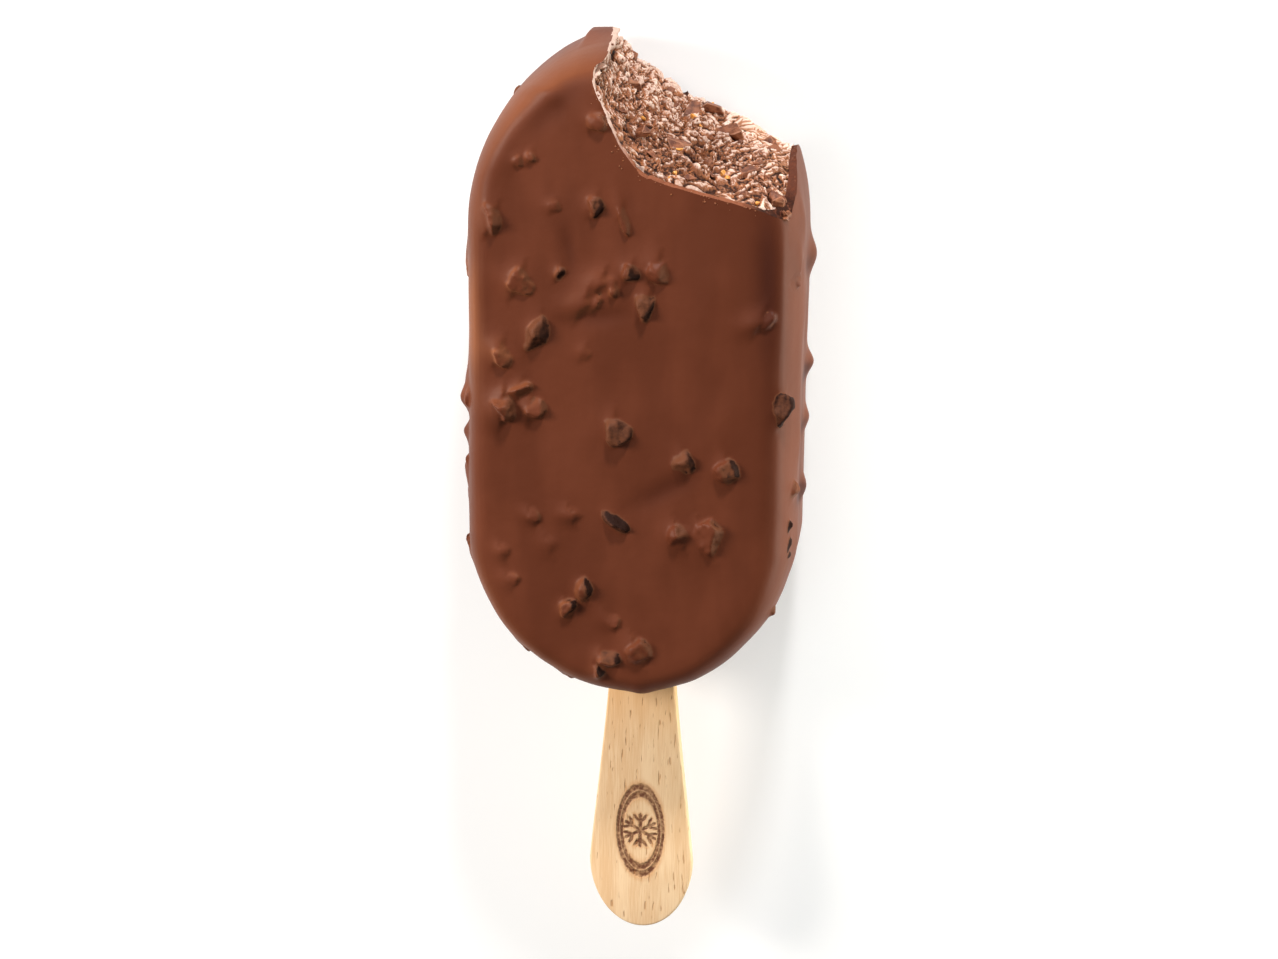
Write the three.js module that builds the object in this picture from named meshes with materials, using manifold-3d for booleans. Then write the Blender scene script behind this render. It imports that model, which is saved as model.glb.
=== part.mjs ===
// A chocolate-coated ice cream bar on a flat wooden stick, lying on its back, with one corner bitten off.
//
// Millimetres, +Z up. +X runs across the bar and +Y along it, from the stick towards the bitten end.
// The origin is under the middle of the bar, on the plane that it lies on.
//
// Three pieces: the coating, a shell with chopped pieces under it; the ice cream that fills it, which shows
// in the bite; and the stick, whose inner half sits in the ice cream.

import * as THREE from "three";
import { mergeVertices } from "three/addons/utils/BufferGeometryUtils.js";
import Module from "manifold-3d";

// ---- Driving dimensions -------------------------------------------------------------------------------

const BAR_LENGTH = 100;
const BAR_WIDTH = 50.2;
const BAR_THICKNESS = 26;
const HALF_WIDTH = BAR_WIDTH / 2;
const HALF_THICKNESS = BAR_THICKNESS / 2;
const TIP_HEIGHT = 28; // the top end is half an ellipse, a little taller than a half circle
const EDGE_INSET = 5.5; // how far in from the side the flat face starts
const EDGE_POWER = 3; // the side's section is a superellipse of this power
const BACK_LIFT = 0.9; // the pieces under the back hold the bar this far off the table
const MIDDLE_Z = BACK_LIFT + HALF_THICKNESS;
const TIP_CENTRE_Y = BAR_LENGTH / 2 - TIP_HEIGHT;
const FOOT_CENTRE_Y = HALF_WIDTH - BAR_LENGTH / 2;

const COAT_THICKNESS = 1.4;
const GAP = 0.3; // between pieces that touch

const SLOW_WAVE = 0.28; // how far the coating swells and sinks
const TROUGH = { x: 20.8, y: 17, halfWidth: 2.4, halfLength: 12, depth: 0.45 }; // beside the face's right edge

// The right side is slimmer round the foot and, low down, beside the bite: pairs of a place along and a depth,
// which is below 0 where the side is fuller.
const FOOT_DRAWN_IN = [
  [-50, 0], [-47, 0.6], [-42, 1.6], [-36, 1.7], [-31.6, 1.75], [-26.5, 1.3],
  [-21, 0.3], [-18, 0],
];
const SIDE_DRAWN_IN = [[-24, 0], [-18, -0.6], [0, -0.6], [4, 0], [10, 0.9], [32, 0.9], [40, 0]];
const DRAWN_IN = { belowZ: 20, overHeight: 15, frontShare: 0.5, beyond: 9, overReach: 14, rightOf: 6, overWidth: 6 };

const STICK_LENGTH = 94;
const STICK_THICKNESS = 2;
const STICK_END_Y = -91.5;
const STICK_CENTRE_X = 0.5;
const STICK_HALF_NECK = 4.8;
const STICK_HALF_PADDLE = 7.95;
const STICK_NECK_Y = -46;
const STICK_PADDLE_Y = -80.5;
const STICK_BEND = [[5.1, -55.5], [7.2, -71.5]]; // what its side bends towards on the way from neck to paddle
const STICK_ROUND_EDGE = 0.3;

// The three lines that the bite follows: along the front face, half way down, and along the back.
const BITE_FRONT = [
  [-3.6, 57], [-4.9, 49.6], [-5.2, 46], [-3.4, 41.2], [-0.55, 35.4], [2.9, 31.9],
  [9.5, 30.2], [16.9, 28.5], [22.2, 26.9], [26, 23.4], [34, 20],
];
const BITE_MIDDLE = [
  [-3.6, 57], [-4.9, 49.6], [-5.2, 46.4], [-3.6, 42.4], [-0.6, 38.6], [3, 35.8],
  [8.5, 33.6], [14, 32.6], [19, 32.1], [24, 32.3], [34, 32],
];
const BITE_BACK = [
  [-9, 57], [-7.8, 49.6], [-5.9, 46.6], [-3.4, 43.2], [-0.4, 41.3], [3.2, 39],
  [8, 36.5], [13, 34.3], [18, 31.2], [23, 30.4], [34, 30],
];
const BITE_FRONT_Z = MIDDLE_Z + 12;
const BITE_BACK_Z = MIDDLE_Z - 12;
const BITE_REACH = 50; // how far the cutter runs past the bar

// How finely the forms are divided: round the outline, over the rounded side, and along and down the bite.
const SKIN_FACETS = { around: 72, edgeRings: 10 };
const HOLLOW_FACETS = { around: 52, edgeRings: 6 };
const COAT_BITE_FACETS = { along: 26, down: 10 };
const CREAM_BITE_FACETS = { along: 34, down: 13 };

// ---- Random numbers and rough surfaces ----------------------------------------------------------------

// A repeatable stream of numbers from 0 to 1.
function randomStream(seed) {
  let state = seed;
  return () => {
    state = (state + 0x6d2b79f5) | 0;
    let t = Math.imul(state ^ (state >>> 15), 1 | state);
    t = (t + Math.imul(t ^ (t >>> 7), 61 | t)) ^ t;
    return ((t ^ (t >>> 14)) >>> 0) / 4294967296;
  };
}

// A fixed number from -1 to 1 for a lattice point.
function latticeValue(i, j, seed) {
  const h = Math.sin(i * 127.1 + j * 311.7 + seed * 74.7) * 43758.5453;
  return 2 * (h - Math.floor(h)) - 1;
}

// Smooth noise from -1 to 1 over a plane, with lattice cells of side 1.
function roughness(x, y, seed) {
  const i = Math.floor(x);
  const j = Math.floor(y);
  const fx = THREE.MathUtils.smoothstep(x - i, 0, 1);
  const fy = THREE.MathUtils.smoothstep(y - j, 0, 1);
  const low = THREE.MathUtils.lerp(latticeValue(i, j, seed), latticeValue(i + 1, j, seed), fx);
  const high = THREE.MathUtils.lerp(latticeValue(i, j + 1, seed), latticeValue(i + 1, j + 1, seed), fx);
  return THREE.MathUtils.lerp(low, high, fy);
}

// ---- Solids -------------------------------------------------------------------------------------------

const wasm = await Module();
wasm.setup();

// A closed three.js geometry as a solid that can be joined and cut.
function toSolid(geometry) {
  const bare = geometry.clone();
  bare.deleteAttribute("normal");
  bare.deleteAttribute("uv");
  const merged = mergeVertices(bare, 1e-4);
  return new wasm.Manifold(
    new wasm.Mesh({
      numProp: 3,
      vertProperties: new Float32Array(merged.attributes.position.array),
      triVerts: new Uint32Array(merged.index.array),
    }),
  );
}

function toGeometry(solid) {
  const mesh = solid.getMesh();
  const geometry = new THREE.BufferGeometry();
  geometry.setAttribute("position", new THREE.BufferAttribute(new Float32Array(mesh.vertProperties), 3));
  geometry.setIndex(new THREE.BufferAttribute(new Uint32Array(mesh.triVerts), 1));
  geometry.computeVertexNormals();
  return geometry;
}

// Moves each vertex of a geometry to where the function puts it.
function warp(geometry, place) {
  const position = geometry.getAttribute("position");
  const uv = geometry.getAttribute("uv");
  for (let i = 0; i < position.count; i++) {
    const at = new THREE.Vector3().fromBufferAttribute(position, i);
    const to = place(at, uv.getX(i), uv.getY(i));
    position.setXYZ(i, to.x, to.y, to.z);
  }
  return geometry;
}

// ---- The bar's form -----------------------------------------------------------------------------------

// Distance from the top end's centre to its elliptical outline, in a direction.
function tipRadius(angle) {
  return 1 / Math.hypot(Math.cos(angle) / HALF_WIDTH, Math.sin(angle) / TIP_HEIGHT);
}

// The outline's point at a share of the way round, counter-clockwise from the lower right, set in by inset.
function outlinePoint(share, inset) {
  const straight = TIP_CENTRE_Y - FOOT_CENTRE_Y;
  const tipArc = (Math.PI * (HALF_WIDTH + TIP_HEIGHT)) / 2;
  const footArc = Math.PI * HALF_WIDTH;
  let along = share * (2 * straight + tipArc + footArc);
  if (along < straight) return new THREE.Vector2(HALF_WIDTH - inset, FOOT_CENTRE_Y + along);
  along -= straight;
  if (along < tipArc) {
    const angle = (Math.PI * along) / tipArc;
    const radius = tipRadius(angle) - inset;
    return new THREE.Vector2(radius * Math.cos(angle), TIP_CENTRE_Y + radius * Math.sin(angle));
  }
  along -= tipArc;
  if (along < straight) return new THREE.Vector2(inset - HALF_WIDTH, TIP_CENTRE_Y - along);
  const angle = Math.PI + (Math.PI * (along - straight)) / footArc;
  const radius = HALF_WIDTH - inset;
  return new THREE.Vector2(radius * Math.cos(angle), FOOT_CENTRE_Y + radius * Math.sin(angle));
}

// How far a point lies inside the outline.
function insetAt(x, y) {
  if (y > TIP_CENTRE_Y) {
    const angle = Math.atan2(y - TIP_CENTRE_Y, x);
    return tipRadius(angle) - Math.hypot(x, y - TIP_CENTRE_Y);
  }
  if (y < FOOT_CENTRE_Y) return HALF_WIDTH - Math.hypot(x, y - FOOT_CENTRE_Y);
  return HALF_WIDTH - Math.abs(x);
}

// The outward direction of the side wall at a point near the outline.
function sideDirection(x, y) {
  if (y > TIP_CENTRE_Y) return new THREE.Vector3(x, y - TIP_CENTRE_Y, 0).normalize();
  if (y < FOOT_CENTRE_Y) return new THREE.Vector3(x, y - FOOT_CENTRE_Y, 0).normalize();
  return new THREE.Vector3(Math.sign(x), 0, 0);
}

// A number between those of a list of pairs, and the first or last one's beyond them.
function between(pairs, at) {
  const next = pairs.findIndex(([place]) => at < place);
  if (next <= 0) return pairs.at(next)[1];
  const [[low, lowValue], [high, highValue]] = pairs.slice(next - 1, next + 1);
  return THREE.MathUtils.mapLinear(at, low, high, lowValue, highValue);
}

// Moves a point of the bar's form in where its right side is slimmer.
function drawIn(point) {
  const { belowZ, overHeight, frontShare, beyond, overReach, rightOf, overWidth } = DRAWN_IN;
  const low = THREE.MathUtils.clamp((belowZ - point.z) / overHeight, 0, 1);
  const middle = new THREE.Vector3(0, Math.max(point.y, FOOT_CENTRE_Y), point.z);
  const out = point.clone().sub(middle);
  const outer = THREE.MathUtils.clamp((out.length() - beyond) / overReach, 0, 1);
  const right = THREE.MathUtils.clamp((point.x - rightOf) / overWidth, 0, 1);
  const foot = between(FOOT_DRAWN_IN, point.y) * (frontShare + (1 - frontShare) * low);
  const depth = foot + between(SIDE_DRAWN_IN, point.y) * low;
  return point.addScaledVector(out.normalize(), -depth * outer * right);
}

// The rings of the skin, from the middle of the front face, over the side, to the middle of the back.
// Each has a scale towards the middle of the face, an inset, and a height from -1 to 1.
function skinRings(edgeRings) {
  const rings = [];
  for (const scale of [0, 0.4, 0.75]) rings.push({ scale, inset: EDGE_INSET, height: 1 });
  for (let i = 0; i <= edgeRings; i++) {
    const turn = Math.PI / 2 - (Math.PI * i) / edgeRings;
    const inset = EDGE_INSET * (1 - Math.cos(turn) ** (2 / EDGE_POWER));
    rings.push({ scale: 1, inset, height: Math.sign(turn) * Math.abs(Math.sin(turn)) ** (2 / EDGE_POWER) });
  }
  for (const scale of [0.75, 0.4, 0]) rings.push({ scale, inset: EDGE_INSET, height: -1 });
  return rings;
}

// How far the outer skin swells or sinks: a trough beside the right edge, and slow waves.
function skinWave(x, y, z) {
  const front = z > MIDDLE_Z;
  const reach = ((x - TROUGH.x) / TROUGH.halfWidth) ** 2 + ((y - TROUGH.y) / TROUGH.halfLength) ** 2;
  return SLOW_WAVE * roughness(x / 9, y / 13, front ? 1 : 2) - (front ? TROUGH.depth * Math.exp(-reach) : 0);
}

// The whole bar's form, a sphere's rings moved onto it, set in by shrink all round. Waves are on the outside only.
function barForm({ around, edgeRings }, shrink, waves) {
  const rings = skinRings(edgeRings);
  const sphere = new THREE.SphereGeometry(1, around, rings.length - 1);
  return toSolid(
    warp(sphere, (at, u, v) => {
      const ring = rings[Math.round((1 - v) * (rings.length - 1))];
      const share = (Math.round(u * around) % around) / around;
      const edge = outlinePoint(share, shrink + Math.max(0, ring.inset * (1 - shrink / HALF_THICKNESS)));
      const height = ring.height * (HALF_THICKNESS - shrink);
      const point = new THREE.Vector3(edge.x * ring.scale, edge.y * ring.scale, MIDDLE_Z + height);
      if (!waves) return drawIn(point);
      const side = 1 - Math.abs(ring.height) ** 6;
      const wave = skinWave(point.x, point.y, point.z);
      const out = sideDirection(point.x, point.y).multiplyScalar(side);
      out.z = Math.sign(ring.height) * (1 - side);
      return drawIn(point.addScaledVector(out, ring.height < -0.99 ? 0 : wave));
    }),
  );
}

// The height of the skin's half thickness where it is set in by inset.
function halfThicknessAt(inset) {
  const rest = 1 - THREE.MathUtils.clamp(inset / EDGE_INSET, 0, 1);
  return HALF_THICKNESS * (1 - rest ** EDGE_POWER) ** (1 / EDGE_POWER);
}

// How far the side is set in at a height from -1 to 1.
function insetAtHeight(height) {
  return EDGE_INSET * (1 - (1 - Math.abs(height) ** EDGE_POWER) ** (1 / EDGE_POWER));
}

// The skin's outward direction at a point on it.
function skinDirection(point) {
  const rest = 1 - THREE.MathUtils.clamp(insetAt(point.x, point.y) / EDGE_INSET, 0, 1);
  const height = (point.z - MIDDLE_Z) / HALF_THICKNESS;
  const out = sideDirection(point.x, point.y).multiplyScalar(rest ** (EDGE_POWER - 1) / EDGE_INSET);
  out.z = (Math.sign(height) * Math.abs(height) ** (EDGE_POWER - 1)) / HALF_THICKNESS;
  return out.normalize();
}

// ---- The bite -----------------------------------------------------------------------------------------

const biteLines = [BITE_FRONT, BITE_MIDDLE, BITE_BACK].map(
  (points) => new THREE.SplineCurve(points.map(([x, y]) => new THREE.Vector2(x, y))),
);

// The bite's surface at a share of the way along it and a height: a parabola through its three lines.
function bitePoint(share, z) {
  const [front, middle, back] = biteLines.map((line) => line.getPoint(share));
  const w = (BITE_FRONT_Z - z) / (BITE_FRONT_Z - BITE_BACK_Z);
  const clamped = THREE.MathUtils.clamp(w, -0.1, 1.1);
  return front
    .multiplyScalar((1 - clamped) * (1 - 2 * clamped))
    .add(middle.multiplyScalar(4 * clamped * (1 - clamped)))
    .add(back.multiplyScalar(clamped * (2 * clamped - 1)));
}

// What the bite takes away: a box whose near side is the bite's surface, moved towards the bar by recess.
function biteCutter({ along, down }, recess) {
  const box = new THREE.BoxGeometry(1, 1, 1, along, 1, down);
  return toSolid(
    warp(box, (at) => {
      const share = at.x + 0.5;
      const z = MIDDLE_Z + at.z * (BAR_THICKNESS + 8);
      if (at.y > 0) return new THREE.Vector3(-20 + (BITE_REACH + 40) * share, 70 + BITE_REACH * (0.4 - share), z);
      const near = bitePoint(share, z);
      const step = bitePoint(Math.min(1, share + 0.01), z).sub(bitePoint(Math.max(0, share - 0.01), z));
      const out = new THREE.Vector2(-step.y, step.x).normalize();
      near.addScaledVector(out, -recess(share, z));
      return new THREE.Vector3(near.x, near.y, z);
    }),
  );
}

// The chocolate breaks in short, nearly straight steps.
function coatRecess(share, z) {
  return 0.35 * roughness(share * 17, z / 5, 5);
}

// The ice cream is bitten a little lower than its shell on the right, and its surface is torn and crumbly.
function creamRecess(share, z) {
  const right = THREE.MathUtils.smoothstep(share, 0.66, 0.79);
  const crumbs = 0.75 * roughness(share * 16, z / 3.4, 7) + 0.55 * roughness(share * 34, z / 1.9, 8);
  return 0.35 + 0.9 * right + crumbs;
}

// ---- Chopped pieces under the coating -----------------------------------------------------------------

const LARGE_LUMP = 8; // a lump longer times wider than this has more faces

// One lump: a ball of few faces, uneven, flattened onto the skin and half sunk in it.
function lump({ point, length, width, height, turn, seed }) {
  const detail = length * width > LARGE_LUMP ? 1 : 0;
  const ball = new THREE.IcosahedronGeometry(1, detail);
  const out = skinDirection(point);
  const level = Math.abs(out.z) > 0.7 ? new THREE.Vector3(1, 0, 0) : new THREE.Vector3(0, 0, 1);
  const across = new THREE.Vector3().crossVectors(out, level).normalize();
  const along = new THREE.Vector3().crossVectors(across, out);
  if (Math.abs(out.z) <= 0.7) along.negate();
  const frame = new THREE.Matrix4().makeBasis(along, new THREE.Vector3().crossVectors(out, along), out);
  const spin = new THREE.Matrix4().makeRotationZ(turn);
  const size = new THREE.Vector3((length / 2) * 1.15, (width / 2) * 1.15, height * 1.3);
  const sunk = point.clone().addScaledVector(out, -0.3 * height);
  const uneven = (at, k) => 1 + 0.16 * roughness(at.x * 2.3 + seed, at.y * 2.3 + at.z * 1.7, seed + k);
  const warped = warp(ball, (at) =>
    new THREE.Vector3(at.x * uneven(at, 1), at.y * uneven(at, 2), at.z * uneven(at, 3))
      .multiply(size)
      .applyMatrix4(spin)
      .applyMatrix4(frame)
      .add(sunk),
  );
  return toSolid(warped);
}

// The lumps that stand out on the front face: place, length, width, height, and turn in degrees.
const FRONT_LUMPS = [
  [-16, 33.1, 1.4, 1.2, 0.7, 0],
  [-14.1, 33.7, 1.3, 1.4, 0.8, 0],
  [-10.6, 26.7, 1.8, 1.1, 0.8, 0],
  [-4.7, 27, 2.4, 2.4, 1.2, 0],
  [-0.8, 26.2, 4.9, 0.9, 0.7, -72],
  [-19.9, 23.7, 4.9, 2, 1.6, -75],
  [-15.8, 15, 3.7, 3.4, 1.5, 20],
  [-10, 16.5, 1.8, 1.4, 0.8, 90],
  [-3.6, 15.5, 3.4, 2.1, 1, 10],
  [-6.1, 12.1, 4.3, 2.4, 1, 20],
  [0.7, 17.4, 2.7, 2.1, 1.6, -40],
  [4.5, 18.3, 3.7, 2.9, 1.2, -50],
  [-1.7, 14.5, 1.8, 1.2, 0.9, 80],
  [3, 12.5, 4.3, 2, 1.7, 90],
  [-13.5, 7.2, 4.3, 2.7, 1.6, 75],
  [-18.8, 3.8, 3.4, 2.3, 1.4, -60],
  [-6.1, 4.6, 1.5, 1.5, 0.5, 0],
  [-15.5, -1.4, 4.3, 1.5, 1.3, 22],
  [-18.1, -4.5, 4, 3.2, 2.2, 50],
  [-14, -4.5, 3.1, 2.7, 1.5, 0],
  [-1.4, -6.9, 4.4, 3.1, 1.8, -52],
  [8.8, -11.3, 3.7, 2.4, 1.3, 80],
  [15.4, -11.8, 3.5, 3.1, 1.6, 40],
  [19.9, 11, 3.9, 1.9, 1, 20],
  [23.2, -2.6, 4.3, 2.6, 1.8, 80],
  [-14, -21.1, 2.1, 1.7, 0.9, -20],
  [-7.8, -20.5, 2.4, 1.5, 0.9, 0],
  [-0.9, -21.4, 4.4, 1.5, 1.3, -33],
  [8.5, -22.6, 3.4, 2.9, 1.6, 30],
  [12.7, -22.7, 4.6, 3.7, 1.4, 80],
  [-18.4, -27, 1.5, 1.5, 0.7, 0],
  [-11.3, -25.3, 2.7, 2.4, 0.5, 0],
  [-17.4, -31.6, 2.4, 1.8, 0.5, 0],
  [-5.8, -32.1, 3.1, 2.1, 1.4, 70],
  [-8.4, -35.2, 2.7, 1.7, 1.5, 50],
  [-2.1, -36.9, 2.7, 1.8, 0.6, -20],
  [2.4, -41, 4, 3.4, 1.5, 40],
  [-2.7, -42.9, 3.4, 2.1, 1.7, 0],
  [-3.8, -45, 2.1, 1.8, 1.2, 0],
  [-4.7, 39.7, 3.1, 2.1, 0.8, -20],
];

// The lumps that stand out on the side.
const SIDE_LUMPS = [
  { x: -25.1, y: 19, z: 19, length: 5.5, width: 3.4, height: 1, turn: 90 },
  { x: -25.1, y: -3, z: 21.5, length: 4.2, width: 3.4, height: 1.6, turn: 90 },
  { x: -25.1, y: -8.6, z: 20, length: 2.8, width: 2.6, height: 1.2, turn: 90 },
  { x: -25.1, y: -14.6, z: 21, length: 3.6, width: 2.4, height: 1, turn: 60 },
  { x: -25.1, y: -19.6, z: 19, length: 2, width: 2, height: 0.7, turn: 0 },
  { x: -24.8, y: -27.4, z: 20.5, length: 3.8, width: 2.4, height: 0.9, turn: 90 },
  { x: -15.9, y: -43.6, z: 22, length: 2.4, width: 2.2, height: 0.9, turn: 0 },
  { x: -9.5, y: -48, z: 22.5, length: 2.6, width: 1.8, height: 0.7, turn: 0 },
  { x: 25.1, y: 17, z: 10.8, length: 4.6, width: 3.4, height: 1, turn: 90 },
  { x: 25.1, y: 18.1, z: 22.4, length: 4.6, width: 1.6, height: 0.7, turn: 85 },
  { x: 25.1, y: -0.5, z: 8, length: 3, width: 2.2, height: 1, turn: 60 },
  { x: 25.1, y: -7.7, z: 11.8, length: 2.6, width: 2.2, height: 0.7, turn: 0 },
  { x: 25.1, y: -17, z: 14.5, length: 3.4, width: 2.2, height: 0.9, turn: 90 },
  { x: 25.1, y: -16.2, z: 22, length: 2.2, width: 1.4, height: 0.6, turn: 60 },
  { x: 25.1, y: -21.5, z: 23, length: 1.3, width: 0.8, height: 0.4, turn: 85 },
  { x: 25.1, y: -24.6, z: 22.5, length: 1.6, width: 0.8, height: 0.4, turn: 75 },
  { x: 22.4, y: -36, z: 21.5, length: 1.6, width: 1.4, height: 0.6, turn: 0 },
];

const SCATTERED_ON_SIDE = 16;
const SCATTERED_ON_BACK = 24;
const REST_LUMP = { length: 5.2, width: 4.6, height: 1.45 }; // in the middle of the back
const CLEAR_OF_STICK = 10;

function frontLumps() {
  return FRONT_LUMPS.map(([x, y, length, width, height, turn], i) => ({
    point: drawIn(new THREE.Vector3(x, y, MIDDLE_Z + halfThicknessAt(insetAt(x, y)))),
    length,
    width,
    height,
    turn: THREE.MathUtils.degToRad(turn),
    seed: i,
  }));
}

// The point of the side nearest to a place, at its height.
function onSide(x, y, z) {
  const inset = insetAtHeight((z - MIDDLE_Z) / HALF_THICKNESS);
  const out = sideDirection(x, y).multiplyScalar(insetAt(x, y) - inset);
  return drawIn(new THREE.Vector3(x + out.x, y + out.y, z));
}

function sideLumps() {
  return SIDE_LUMPS.map(({ x, y, z, turn, ...size }, i) => ({
    ...size,
    point: onSide(x, y, z),
    turn: THREE.MathUtils.degToRad(turn),
    seed: 100 + i,
  }));
}

// Lumps in turn down the left side, low down and clear of the stick, and in a sunflower's order over the back,
// where the tallest reach the table.
function scatteredLumps() {
  const random = randomStream(11);
  const size = () => ({ length: 1.8 + 2.6 * random(), turn: Math.PI * random(), seed: 200 + 50 * random() });
  const lumps = [];
  for (let i = 0; i < SCATTERED_ON_SIDE; i++) {
    const share = (i + 0.2 + 0.6 * random()) / SCATTERED_ON_SIDE;
    const z = MIDDLE_Z + HALF_THICKNESS * (-0.7 + 0.45 * random());
    const edge = outlinePoint(share, 0);
    const made = size();
    const byStick = edge.y < FOOT_CENTRE_Y && Math.abs(edge.x - STICK_CENTRE_X) < CLEAR_OF_STICK;
    if (edge.x > 0 || byStick) continue;
    const width = made.length * (0.5 + 0.4 * random());
    lumps.push({ ...made, point: onSide(edge.x, edge.y, z), width, height: 0.6 + 0.5 * random() });
  }
  const goldenTurn = Math.PI * (3 - Math.sqrt(5));
  for (let i = 0; i < SCATTERED_ON_BACK; i++) {
    const reach = Math.sqrt((i + 0.02) / SCATTERED_ON_BACK);
    const angle = i * goldenTurn;
    const x = reach * (HALF_WIDTH - 4.5) * Math.cos(angle);
    const y = reach * (BAR_LENGTH / 2 - 5) * Math.sin(angle);
    const made = size();
    const point = new THREE.Vector3(x, y, MIDDLE_Z - halfThicknessAt(insetAt(x, y)));
    const lying = { ...made, point, width: made.length * (0.6 + 0.4 * random()), height: 0.95 + 0.5 * random() };
    lumps.push(i === 0 ? { ...lying, ...REST_LUMP } : lying);
  }
  return lumps;
}

// ---- The coating --------------------------------------------------------------------------------------

// Everything under the table, where the lumps of the back are pressed flat.
function belowTable() {
  const slab = new THREE.BoxGeometry(BAR_WIDTH * 2, BAR_LENGTH * 2, 10);
  slab.translate(0, 0, -5);
  return toSolid(slab);
}

function coatingGeometry() {
  const lumps = [...frontLumps(), ...sideLumps(), ...scatteredLumps()];
  let skin = barForm(SKIN_FACETS, 0, true);
  for (const made of lumps) skin = skin.add(lump(made));
  const hollow = barForm(HOLLOW_FACETS, COAT_THICKNESS, false);
  const shell = skin
    .subtract(hollow)
    .subtract(stickSolid(GAP))
    .subtract(biteCutter(COAT_BITE_FACETS, coatRecess))
    .subtract(belowTable());
  return toGeometry(largestBody(shell));
}

function largestBody(solid) {
  return solid.decompose().reduce((best, body) => (body.volume() > best.volume() ? body : best));
}

// ---- The ice cream ------------------------------------------------------------------------------------

const FLAKE_COUNT = 16;

// Flat chips of chocolate that stick out of the bitten surface.
function flakes() {
  const random = randomStream(23);
  const made = [];
  for (let i = 0; i < FLAKE_COUNT; i++) {
    const share = 0.16 + (0.56 * (i + 0.7 * random())) / FLAKE_COUNT;
    const z = MIDDLE_Z + (random() - 0.5) * (BAR_THICKNESS - 9);
    const at = bitePoint(share, z);
    const chip = new THREE.BoxGeometry(1.6 + 1.9 * random(), 1.2 + 1.2 * random(), 0.8 + 0.5 * random());
    chip.applyMatrix4(
      new THREE.Matrix4().makeRotationFromEuler(
        new THREE.Euler(Math.PI * random(), Math.PI * random(), Math.PI * random()),
      ),
    );
    chip.translate(at.x, at.y - 0.2, z);
    made.push(toSolid(chip));
  }
  return made;
}

function iceCreamGeometry() {
  const core = barForm(HOLLOW_FACETS, COAT_THICKNESS + GAP, false);
  let cream = core.subtract(biteCutter(CREAM_BITE_FACETS, creamRecess));
  for (const flake of flakes()) cream = cream.add(flake.intersect(core));
  return toGeometry(largestBody(cream.subtract(stickSolid(GAP))));
}

// ---- The stick ----------------------------------------------------------------------------------------

// The stick's outline, from its round inner end to the wide round end that is held, made bigger by grow.
function stickShape(grow) {
  const neck = STICK_HALF_NECK + grow;
  const paddle = STICK_HALF_PADDLE + grow;
  const innerCentre = STICK_END_Y + STICK_LENGTH - STICK_HALF_NECK;
  const endReach = STICK_PADDLE_Y - STICK_END_Y + grow;
  const [[upperX, upperY], [lowerX, lowerY]] = STICK_BEND;
  const upper = upperX + grow;
  const lower = lowerX + grow;
  const shape = new THREE.Shape();
  shape.moveTo(neck, innerCentre);
  shape.absarc(0, innerCentre, neck, 0, Math.PI, false);
  shape.lineTo(-neck, STICK_NECK_Y);
  shape.bezierCurveTo(-upper, upperY, -lower, lowerY, -paddle, STICK_PADDLE_Y);
  shape.absellipse(0, STICK_PADDLE_Y, paddle, endReach, Math.PI, 2 * Math.PI, false, 0);
  shape.bezierCurveTo(lower, lowerY, upper, upperY, neck, STICK_NECK_Y);
  shape.closePath();
  return shape;
}

// The stick with its edges rounded, or, grown by a gap, the slot that it sits in.
function stickSolid(grow) {
  const stick = new THREE.ExtrudeGeometry(stickShape(grow - STICK_ROUND_EDGE), {
    depth: STICK_THICKNESS + 2 * grow - 2 * STICK_ROUND_EDGE,
    bevelThickness: STICK_ROUND_EDGE,
    bevelSize: STICK_ROUND_EDGE,
    bevelSegments: 1,
    curveSegments: 9,
  });
  stick.translate(STICK_CENTRE_X, 0, MIDDLE_Z - STICK_THICKNESS / 2 - grow + STICK_ROUND_EDGE);
  return toSolid(stick);
}

// ---- The object ---------------------------------------------------------------------------------------

const milkChocolate = new THREE.MeshStandardMaterial({ name: "milk_chocolate", color: 0x74402c, roughness: 0.42 });
const chocolateIceCream = new THREE.MeshStandardMaterial({ name: "chocolate_ice_cream", color: 0xc09578, roughness: 0.75 });
const beech = new THREE.MeshStandardMaterial({ name: "beech_wood", color: 0xe6c79c, roughness: 0.65 });

function piece(name, geometry, material) {
  const mesh = new THREE.Mesh(geometry, material);
  mesh.name = name;
  return mesh;
}

const bar = new THREE.Group();
bar.add(piece("chocolate_coating", coatingGeometry(), milkChocolate));
bar.add(piece("ice_cream", iceCreamGeometry(), chocolateIceCream));
bar.add(piece("stick", toGeometry(stickSolid(0)), beech));

export default bar;
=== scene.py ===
"""The looks of a chocolate-coated ice cream bar on a wooden stick, on its back with one corner bitten off.

Blender's units are metres. Sizes below are in millimetres unless a name says otherwise, in the part's own
frame: +X across the bar, +Y along it towards the bitten end, +Z up, and the origin on the table under the
bar's middle.
"""

from __future__ import annotations

import logging
import math
import random
from collections.abc import Callable, Iterator
from contextlib import contextmanager
from dataclasses import dataclass, field
from enum import Enum

import bpy
import numpy as np
from mathutils import Matrix, Vector
from mathutils.bvhtree import BVHTree


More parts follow.
